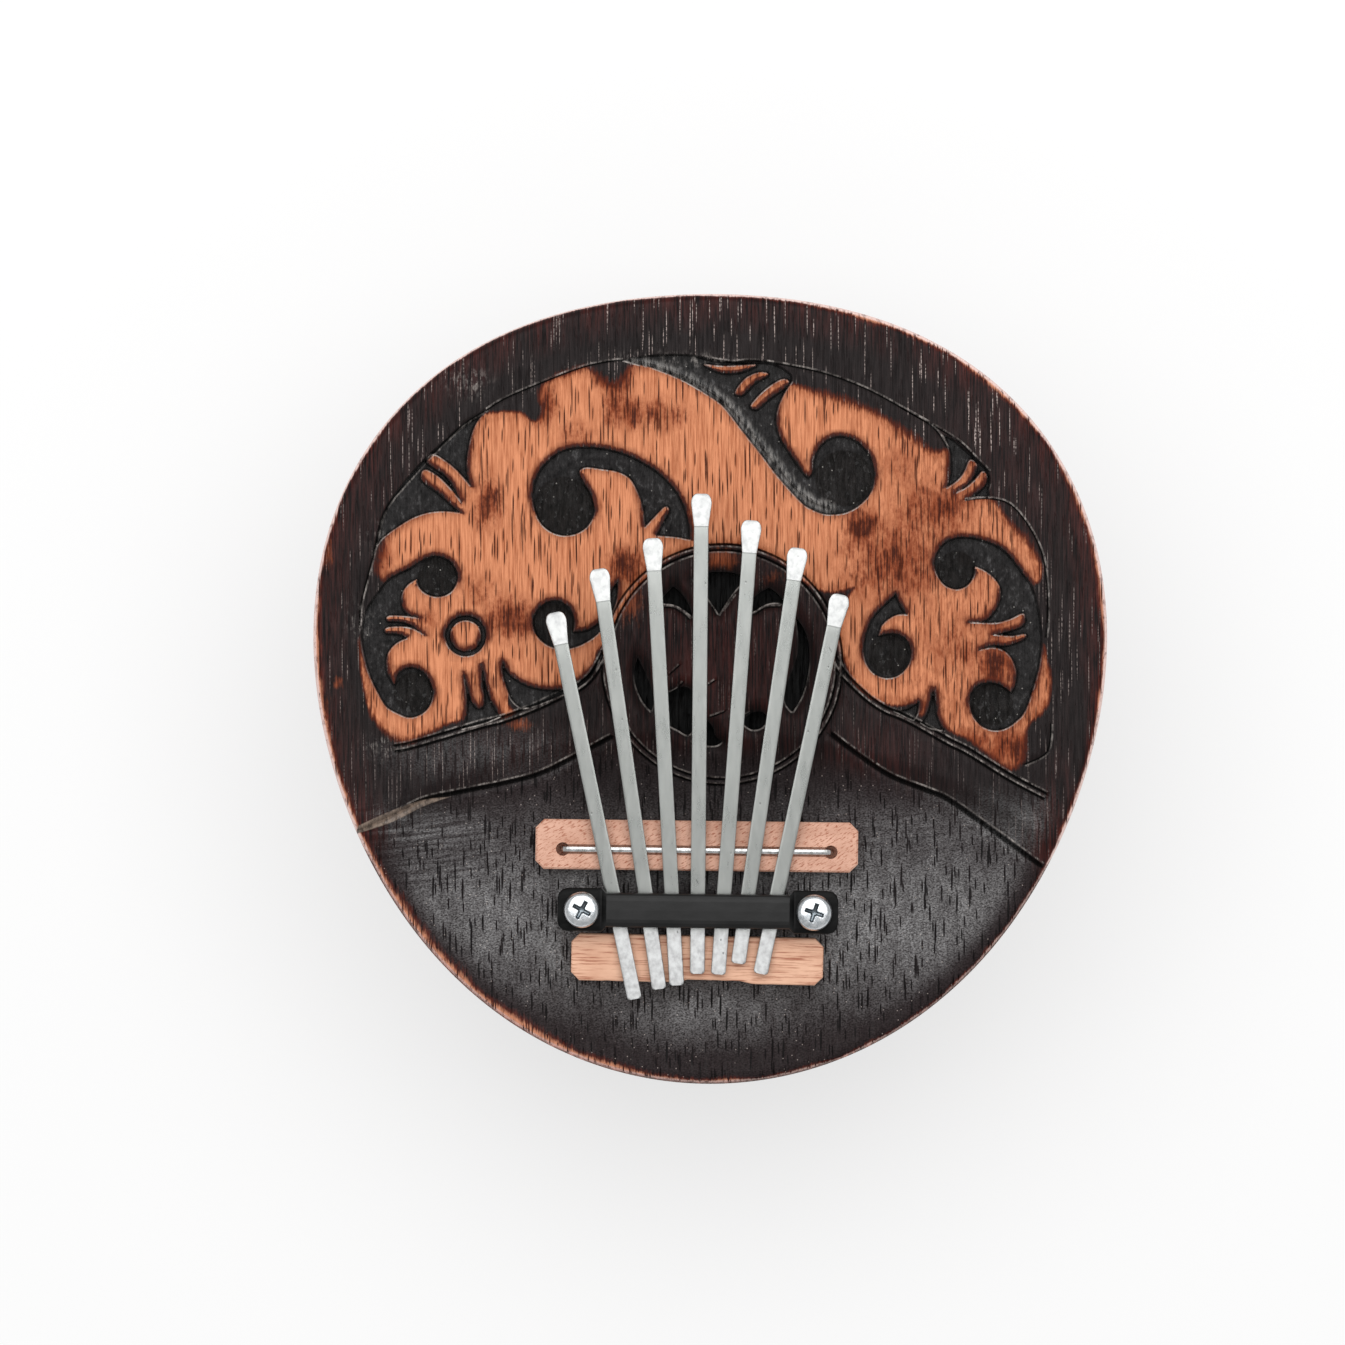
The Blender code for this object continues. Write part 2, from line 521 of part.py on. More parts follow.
def along_line(points, half_width):
    """A closed outline at one distance on both sides of a line."""
    sides = ([], [])
    for index, (x, y) in enumerate(points):
        before, after = points[max(0, index - 1)], points[min(len(points) - 1, index + 1)]
        across = Vector((before[1] - after[1], after[0] - before[0])).normalized() * half_width
        sides[0].append((x + across.x, y + across.y))
        sides[1].append((x - across.x, y - across.y))
    return sides[0] + sides[1][::-1]


# Scrolls and leaf folds are cut to one depth below the leaf
pocket_floor = BOARD_TOP - CARVE_DEPTH
above_board = BOARD_TOP + CARVE_DEPTH
for name, points in POCKETS.items():
    outlines = [on_board(smooth_closed(points, 2))]
    if name == "scroll_right":
        outlines += [on_board(smooth_closed(fold, 2)) for fold in FOLDS]
    pocket = plate(name, outlines, pocket_floor, above_board)
    as_cutter(name, pocket, Matrix.Identity(4), CARVERS)
for index, (u, v, size) in enumerate(PITS):
    radius = size * BOARD_RADIUS / 100
    pit_profile = [
        (0.0, -PIT_DEPTH), (0.6 * radius, -0.8 * PIT_DEPTH), (radius, 0.0), (radius, CARVE_DEPTH / 2),
        (0.0, CARVE_DEPTH / 2),
    ]
    pit_place = Matrix.Translation((*on_board([(u, v)])[0], pocket_floor))
    as_cutter(f"pit_{index}", turned(f"pit_{index}", pit_profile, PIT_SEGMENTS), pit_place, CARVERS)


def ring_outlines(u, v, sizes):
    """Two circles about one middle."""
    turn = [2 * math.pi * step / RING_SEGMENTS for step in range(RING_SEGMENTS)]
    return [on_board([(u + size * math.cos(a), v + size * math.sin(a)) for a in turn]) for size in sizes]


# A small ring in the leaf, the ring about the rosette and the gouged lines
small_ring = plate("small_ring", ring_outlines(*SMALL_RING), pocket_floor, above_board)
as_cutter("small_ring", small_ring, Matrix.Identity(4), CARVERS)
ring_floor = BOARD_TOP - RING_DEPTH
rosette_ring = plate("rosette_ring", ring_outlines(*ROSETTE_RING), ring_floor, above_board + LINE_DEPTH)
as_cutter("rosette_ring", lowered_into_dish(rosette_ring), Matrix.Identity(4), CARVERS)
for name, points in LINES.items():
    outline = along_line(on_board(points), LINE_WIDTH / 2)
    groove = plate(name, [outline], BOARD_TOP - LINE_DEPTH, above_board + 2 * LINE_DEPTH)
    as_cutter(name, lowered_into_dish(groove), Matrix.Identity(4), CARVERS)

# The rosette is pierced right through
for name, points in PIERCINGS.items():
    gap = plate(name, [on_board(smooth_closed(points, 2))], BOARD_BOTTOM - CARVE_DEPTH, above_board)
    as_cutter(name, gap, Matrix.Identity(4), CARVERS)

# Blind holes for the two screws
screw_bottom = BOARD_BOTTOM + SCREW_SKIN - DECK_TOP
for side, name in ((-1, "hole_left"), (1, "hole_right")):
    start = (side * SCREW_PLACE, 0, screw_bottom - CLEARANCE)
    hole = pin(name, SCREW_RADIUS + CLEARANCE, start, DISH_DROP + CARVE_DEPTH - screw_bottom, (0, 0, 1))
    as_cutter(name, hole, BAR_FRAME, CARVERS)
cut_with(board, "carving", CARVERS)


def block_outline(length, width, middle):
    """A rectangle with its four corners cut off."""
    half, deep, corner = length / 2, width / 2, BRIDGE_CORNER
    right = [(half - corner, -deep), (half, corner - deep), (half, deep - corner), (half - corner, deep)]
    left = [(-x, y) for x, y in reversed(right)]
    return [(x, y + middle) for x, y in right + left]


# The front bridge has a groove for the wire and a hole for each of its legs
front_mesh = plate(
    "front_bridge", [block_outline(BRIDGE_LENGTH, BRIDGE_WIDTH, BRIDGE_FORWARD)], CLEARANCE,
    CLEARANCE + BRIDGE_HEIGHT,
)
front_bridge = finish("front_bridge", front_mesh, PALE_WOOD, DECK_FRAME)
soften(front_bridge, BRIDGE_EDGE)
groove_radius = WIRE_RADIUS + CLEARANCE
groove = pin("groove", groove_radius, (-WIRE_HALF, 0, WIRE_HEIGHT), 2 * WIRE_HALF, (1, 0, 0))
cut_with(front_bridge, "groove", as_cutter("groove", groove, DECK_FRAME, CUTTERS))
for side, name in ((-1, "leg_hole_left"), (1, "leg_hole_right")):
    start = (side * WIRE_HALF, 0, WIRE_HEIGHT - WIRE_LEG - CLEARANCE)
    leg_hole = pin(name, groove_radius + CLEARANCE, start, WIRE_LEG + 2 * WIRE_BEND, (0, 0, 1))
    cut_with(front_bridge, name, as_cutter(name, leg_hole, DECK_FRAME, CUTTERS))

# The wire is a staple with two legs bent down
wire_curve = bpy.data.curves.new("bridge_wire", "CURVE")
wire_curve.dimensions = "3D"
wire_curve.fill_mode = "FULL"
wire_curve.bevel_depth = WIRE_RADIUS
wire_curve.bevel_resolution = 2
wire_curve.use_fill_caps = True
half_path = [(WIRE_HALF, -WIRE_LEG)]
for step in range(5):
    angle = math.pi / 2 * step / 4
    half_path.append((
        WIRE_HALF - WIRE_BEND * (1 - math.cos(angle)), -WIRE_BEND * (1 - math.sin(angle)),
    ))
wire_path = half_path + [(-x, z) for x, z in reversed(half_path)]
wire_spline = wire_curve.splines.new("POLY")
wire_spline.points.add(len(wire_path) - 1)
for point, (x, z) in zip(wire_spline.points, wire_path):
    point.co = (x, 0.0, WIRE_HEIGHT + z, 1.0)
wire = bpy.data.objects.new("bridge_wire", wire_curve)
wire.matrix_world = DECK_FRAME
wire_curve.materials.append(SPRING_STEEL)
PARTS.objects.link(wire)


def tine_underside(back):
    """Height of a tine's underside at a place along the deck, bent down under the pressure bar."""
    from_bar = back + BAR_BACK
    up, down = math.tan(TONGUE_RISE), math.tan(TAIL_RISE)
    bent = math.hypot(from_bar, BEND_LENGTH) - BEND_LENGTH
    return (up - down) / 2 * from_bar + (up + down) / 2 * bent


TINE_DROP = TINE_AT_WIRE - tine_underside(0.0)


def tine_half_width(from_tip):
    """Half the width of a tine, flared to a rounded paddle at its tip."""
    if from_tip >= TIP_LENGTH:
        return TINE_WIDTH / 2
    shoulder = TIP_LENGTH * TIP_SHOULDER
    if from_tip >= shoulder:
        flare = (TIP_LENGTH - from_tip) / (TIP_LENGTH - shoulder)
        return (TINE_WIDTH + (TIP_WIDTH - TINE_WIDTH) * flare) / 2
    rounding = 1 - from_tip / shoulder
    return TIP_WIDTH / 2 * (TIP_BLUNTNESS + (1 - TIP_BLUNTNESS) * math.sqrt(max(0.0, 1 - rounding ** 2)))


# Each tine is a straight bar of spring steel shaped over the wire and under the pressure bar
for name, (place, free_share, tail_share, splay_degrees) in TINES.items():
    free = free_share * LONGEST_TONGUE
    tail = tail_share * LONGEST_TAIL
    splay = math.radians(splay_degrees)
    work = bmesh.new()
    bmesh.ops.create_cube(work, size=1.0)
    bmesh.ops.scale(work, vec=(1.0, free + tail, 1.0), verts=work.verts[:])
    bmesh.ops.translate(work, vec=(0.0, (free - tail) / 2, 0.5), verts=work.verts[:])
    bar_place = -BAR_BACK / math.cos(splay)
    cuts = [bar_place + BEND_LENGTH * share for share in (-2.4, -1.2, -0.5, 0, 0.5, 1.2, 2.4)]
    cuts += [free - TIP_LENGTH * share for share in (1, TIP_SHOULDER, 0.18, 0.08, 0.02)]
    stations(work, (0, 1, 0), cuts)
    for vert in work.verts:
        side, along, level = vert.co
        from_tip = free - along
        ground = max(0.0, 1 - from_tip / TIP_LENGTH)
        thick = TINE_THICKNESS - (TINE_THICKNESS - TIP_EDGE_THICKNESS) * ground
        across = 2 * side * tine_half_width(from_tip)
        x = across * math.cos(splay) - along * math.sin(splay)
        y = across * math.sin(splay) + along * math.cos(splay)
        height = tine_underside(y) + TINE_DROP - WIRE_HEIGHT + level * thick
        vert.co = (x, y, height)
    tine_mesh = mesh_from_bmesh(name, work)
    on_wire = Matrix.Translation((place * TINE_PITCH, 0.0, WIRE_HEIGHT))
    tine = finish(name, tine_mesh, SPRING_STEEL, DECK_FRAME @ on_wire)
    soften(tine, TINE_EDGE)

# The pressure bar is a rod with a round belly and two ends beaten flat for the screws
bar_bottom = tine_underside(-BAR_BACK) + TINE_DROP + TINE_THICKNESS + CLEARANCE
shoulder_end = SCREW_PLACE - SCREW_HEAD_RADIUS - CLEARANCE
shoulder_start = shoulder_end - BAR_SHOULDER
work = bmesh.new()
bmesh.ops.create_cone(work, cap_ends=True, segments=24, radius1=1.0, radius2=1.0, depth=BAR_LENGTH)
bmesh.ops.rotate(work, matrix=Matrix.Rotation(math.pi / 2, 3, "Y"), verts=work.verts[:])
for side in (-1, 1):
    tab_corner = [BAR_LENGTH / 2 - TAB_CORNER * share for share in (1, 0.5, 0.15)]
    stations(work, (1, 0, 0), [side * place for place in [shoulder_start, shoulder_end] + tab_corner])
for vert in work.verts:
    x, across, up = vert.co
    from_end = BAR_LENGTH / 2 - abs(x)
    flat = min(1.0, max(0.0, (abs(x) - shoulder_start) / BAR_SHOULDER))
    width = BAR_WIDTH + (TAB_WIDTH - BAR_WIDTH) * flat
    if from_end < TAB_CORNER:
        width -= 2 * TAB_CORNER * (1 - math.sqrt(max(0.0, 1 - (1 - from_end / TAB_CORNER) ** 2)))
    low = TAB_LIFT * flat
    high = BAR_HEIGHT + (TAB_LIFT + TAB_HEIGHT - BAR_HEIGHT) * flat
    square = BAR_SQUARENESS if up > 0 else 1.0 + (BAR_SQUARENESS - 1.0) * flat
    y = math.copysign(abs(across) ** square, across) * width / 2
    rise = math.copysign(abs(up) ** square, up)
    vert.co = (x, y, bar_bottom + (low + high) / 2 + rise * (high - low) / 2)
bar_mesh = mesh_from_bmesh("pressure_bar", work)
pressure_bar = finish("pressure_bar", bar_mesh, BLACK_STEEL, BAR_FRAME)

# Screws with a pan head, a cross slot and a plain shank ending in a point
head_bottom = bar_bottom + TAB_LIFT + TAB_HEIGHT + CLEARANCE
head_top = head_bottom + SCREW_HEAD_HEIGHT
screw_profile = [
    (0.0, screw_bottom), (SCREW_RADIUS, screw_bottom + SCREW_POINT), (SCREW_RADIUS, head_bottom),
    (SCREW_HEAD_RADIUS, head_bottom), (SCREW_HEAD_RADIUS, head_top - SCREW_HEAD_HEIGHT * 0.55),
    (SCREW_HEAD_RADIUS * 0.9, head_top - SCREW_HEAD_HEIGHT * 0.25),
    (SCREW_HEAD_RADIUS * 0.65, head_top - SCREW_HEAD_HEIGHT * 0.05), (0.0, head_top),
]
for side, name, slot_turn in ((-1, "screw_left", SLOT_TURN_LEFT), (1, "screw_right", SLOT_TURN_RIGHT)):
    at_screw = BAR_FRAME @ Matrix.Translation((side * SCREW_PLACE, 0.0, 0.0))
    tab_hole = pin(
        name + "_hole", SCREW_RADIUS + CLEARANCE, (0, 0, bar_bottom - BAR_HEIGHT), 3 * BAR_HEIGHT, (0, 0, 1),
    )
    cut_with(pressure_bar, name, as_cutter(name + "_hole", tab_hole, at_screw, CUTTERS))
    screw = finish(name, turned(name, screw_profile, ROUND_SEGMENTS + 4), ZINC, at_screw)
    for quarter in (0, 90):
        slot_name = f"{name}_slot_{quarter}"
        work = bmesh.new()
        bmesh.ops.create_cube(work, size=1.0)
        bmesh.ops.scale(work, vec=(SLOT_LENGTH, SLOT_WIDTH, 2 * SLOT_DEPTH), verts=work.verts[:])
        turn = Matrix.Rotation(math.radians(slot_turn + quarter), 4, "Z")
        slot_place = at_screw @ Matrix.Translation((0, 0, head_top)) @ turn
        slot_mesh = mesh_from_bmesh(slot_name, work)
        cut_with(screw, slot_name, as_cutter(slot_name, slot_mesh, slot_place, CUTTERS))

# The rear bridge holds the tails up behind the pressure bar
rear_front = -REAR_BRIDGE_BACK + REAR_BRIDGE_WIDTH / 2
rear_top = tine_underside(rear_front) + TINE_DROP - CLEARANCE
rear_outline = block_outline(REAR_BRIDGE_LENGTH, REAR_BRIDGE_WIDTH, 0.0)
rear_mesh = plate("rear_bridge", [rear_outline], CLEARANCE, rear_top)
rear_bridge = finish("rear_bridge", rear_mesh, PALE_WOOD, REAR_FRAME)
soften(rear_bridge, BRIDGE_EDGE)
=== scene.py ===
"""Looks of the coconut shell kalimba: carved board, steel, wood and shell, with light and camera."""

import math

import bmesh
import bpy
import numpy as np
from mathutils import Matrix, Vector, noise
from mathutils.geometry import delaunay_2d_cdt


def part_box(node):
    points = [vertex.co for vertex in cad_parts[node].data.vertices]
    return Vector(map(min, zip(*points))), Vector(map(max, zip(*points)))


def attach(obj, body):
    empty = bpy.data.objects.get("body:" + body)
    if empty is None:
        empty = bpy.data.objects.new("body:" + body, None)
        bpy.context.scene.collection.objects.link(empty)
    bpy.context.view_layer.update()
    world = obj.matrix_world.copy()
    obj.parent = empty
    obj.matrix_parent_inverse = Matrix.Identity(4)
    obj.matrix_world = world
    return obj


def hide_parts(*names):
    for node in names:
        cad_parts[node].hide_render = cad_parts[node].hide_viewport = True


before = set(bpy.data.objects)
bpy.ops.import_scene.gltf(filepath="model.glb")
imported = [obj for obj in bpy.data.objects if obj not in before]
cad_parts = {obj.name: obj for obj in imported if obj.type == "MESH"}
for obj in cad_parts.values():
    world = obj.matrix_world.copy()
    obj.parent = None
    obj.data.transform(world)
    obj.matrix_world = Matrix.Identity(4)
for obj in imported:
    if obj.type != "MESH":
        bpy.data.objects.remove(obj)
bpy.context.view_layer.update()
MM = 0.001

# The board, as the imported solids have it
BOARD_LOW, BOARD_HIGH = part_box("soundboard")
BOARD_BOTTOM, BOARD_TOP = BOARD_LOW.z, BOARD_HIGH.z
BOARD_THICKNESS = BOARD_TOP - BOARD_BOTTOM
BOARD_RADIUS = 67.5 * MM
BOARD_LOBE = 2.1 * MM
BOARD_SQUARE = 0.5 * MM
EDGE_ROUND = 1.4 * MM
EDGE_TRIM = 0.03 * MM

# The board's side from its face down and in under it: inset, height, and distance from the edge in
# millimetres, which sets how much bare wood and painted highlight the side shows
SIDE_LEVELS = [
    (0.0, 6.1 * MM, 0.5), (0.0, 4.6 * MM, 2.0), (0.0, EDGE_ROUND, 2.0),
    (0.3 * EDGE_ROUND, 0.3 * EDGE_ROUND, 0.4), (EDGE_ROUND, 0.0, 1.5), (2.5 * EDGE_ROUND, 0.0, 6.0),
]
MIDDLE = np.array((0.0, BOARD_LOBE))
UNIT = BOARD_RADIUS / 100

# The dished playing end
DISH_DROP = 1.6 * MM
DISH_COVE = 8.0 * MM
DISH_MIDDLE = np.array((-2.3, -52.9)) * MM
DISH_HALF = np.array((61.2, 37.6)) * MM
DECK_TOP = BOARD_TOP - DISH_DROP

# Where the tines are held
DECK_SKEW = math.radians(-0.7)
DECK_FRAME = Matrix.Translation((-2.3 * MM, -27.3 * MM, DECK_TOP)) @ Matrix.Rotation(DECK_SKEW, 4, "Z")
SIDE_SHIFT = 0.3 * MM
BAR_BACK = 10.1 * MM
TINE_PITCH = 5.2 * MM
TINE_WIDTH = 2.5 * MM
TINE_THICKNESS = 1.0 * MM
TINE_OVER_WIRE = 6.3 * MM
TIP_WIDTH = 3.5 * MM
TIP_LENGTH = 5.5 * MM
TIP_EDGE = 0.5 * MM
TONGUE_RISE = math.radians(4.5)
TAIL_RISE = math.radians(3.0)
BEND_LENGTH = 1.5 * MM
LONGEST_TONGUE = 60.2 * MM
LONGEST_TAIL = 25.75 * MM
TINE_EDGE = 0.15 * MM
TAIL_CORNER = 0.5 * MM
TIP_SHOULDER = 0.3
TIP_BLUNT = 0.45

# Where a tine has cross sections: shares of its tail corner and of its tip, and the steps between them
TAIL_STATIONS = (0, 0.05, 0.2, 0.5, 1)
TIP_STATIONS = (1.01, 0.99, 0.8, 0.6, 0.45, 0.36, 0.3, 0.25, 0.2, 0.15, 0.1, 0.06, 0.03, 0.01, 0)
BEND_STATIONS = np.linspace(-3, 3, 13)
STATION_STEP = 3 * MM
FROM_TAIL = 5 * MM
FROM_BEND = 6 * MM
FROM_TIP = 1 * MM

# Each tine: place on the wire in pitches, shares of the longest tongue and tail, splay to the left in degrees
TINES = {
    1: (-3.02, 0.679, 1.000, 12.4),
    2: (-1.87, 0.796, 0.920, 8.9),
    3: (-0.89, 0.876, 0.885, 3.8),
    4: (0.05, 1.000, 0.806, 0.2),
    5: (0.99, 0.929, 0.810, -3.5),
    6: (1.87, 0.859, 0.742, -7.5),
    7: (2.90, 0.737, 0.816, -11.2),
}

# The screws
SCREW_PLACE = 19.583 * MM
HEAD_RADIUS = 3.05 * MM
HEAD_HEIGHT = 2.0 * MM
HEAD_RIM = 0.12 * MM
HEAD_RINGS = 34
SHANK_RADIUS = 1.5 * MM
THREAD_DEPTH = 0.3 * MM
THREAD_PITCH = 0.8 * MM
POINT_LENGTH = 2 * MM
POINT_RADIUS = 0.05 * MM
SLOT_LENGTH = 3.3 * MM
SLOT_WIDTH = 0.7 * MM
SLOT_DEPTH = 1.2 * MM
SLOT_WALL = 0.22 * MM
SCREW_ANGLES = [math.radians(3.75 * step) for step in range(96)]

# The rear block; the bite runs along its back edge between two slopes
REAR_BACK = 18.4 * MM
REAR_LENGTH = 42.6 * MM
REAR_WIDTH = 7.9 * MM
REAR_SKEW = math.radians(-0.6)
REAR_ROUND = 0.35 * MM
REAR_WAVE = 0.1 * MM
REAR_BITE = 0.5 * MM
BITE_START = (-3.5 * MM, -1.5 * MM)
BITE_END = (7 * MM, 9.5 * MM)
BLOCK_CORNER = 1.4 * MM

# The shell half
BOWL_DEPTH = 56.0 * MM
BOWL_WALL = 4.0 * MM
BOWL_SIDES = 180
OUTER_RINGS = 40
INNER_RINGS = 28
SHELL_FOOT = 13.0 * MM
SHELL_RIDGE = 0.3 * MM
SHELL_SCRAPES = 0.12 * MM
FOOT_BLEND = 4 * MM
RIM_BLEND = 3 * MM
OVERHANG = 1.0 * MM

# Light and camera
FLOOR_HALF = 3.0
FLOOR_COLOUR = (0.9, 0.9, 0.9, 1.0)
FLOOR_GLOW = 0.6
WORLD_STRENGTH = 0.55
WHITE = (1.0, 1.0, 1.0, 1.0)
LAMP_PLACE = (0.0, 0.39, 0.95)
LAMP_AIM = (0.0, 0.39, 0.0)
LAMP_SIZE = (1.2, 0.95)
LAMP_POWER = 8.8
CAMERA_PLACE = (-6.4 * MM, 2.8 * MM, BOARD_TOP + 1.5)
FOCAL_LENGTH = 237.0
SENSOR_WIDTH = 36.0

# Carving
CARVE_DEPTH = 1.2 * MM
CARVE_WALL = 0.34 * MM
CARVE_UNEVEN = 0.12 * MM
CARVE_LIP = 0.02 * MM
PIT_DEPTH = 0.7 * MM
RING_HALF_WIDTH = 0.45 * MM
RING_PAIR = 0.5 * MM
PETAL_DROP = 0.7 * MM
PETAL_SLOPE = 1.6 * MM
FOLD_SWELL = 0.2 * MM

# How far from each kind of line the distance to it is followed; from a groove in half widths of it
CARVE_REACH = 1.2 * MM
GROOVE_REACH = 3.0
RIDGE_REACH = 2 * MM
PETAL_REACH = 3 * MM
LEAF_REACH = 4 * MM
EDGE_REACH = 12 * MM

# The board's points: how far apart they stand along each kind of line, and in rows how far beside it, in
# millimetres; beside a gouged line the rows are shares of its half width and of its lit edge
ROWS = {
    "gap": (0.4, (-0.25, 0.25, -0.6, 0.6)),
    "pocket": (0.3, (0.0, 0.12, -0.12, 0.36, -0.36, 0.8, -0.8)),
    "gouge": (0.4, (0.0, 0.15, -0.15)),
    "ridge": (0.35, (0.0, 0.2, -0.2, 0.4, -0.4)),
    "leaf": (0.4, (0.0, 0.2, -0.2, 0.5, -0.5)),
}
LINE_SPACING = 0.35 * MM
LINE_ROWS = (0.0, 0.5, -0.5, 1.0, -1.0)
LIT_ROWS = (1, 3)
RING_ROWS = (-0.9, -0.45, -0.2, 0.2, 0.45, 0.9)
EDGE_ROWS = (0.1, 0.3, 0.6, 1.0, 1.4, 2.0, 2.8)
PIT_ROWS = (0.3, 0.6, 0.8)
GRID_STEP = 0.95 * MM
GRID_APART = 0.5 * MM
ROW_APART = 0.11 * MM
EDGE_CLEAR = 0.06 * MM

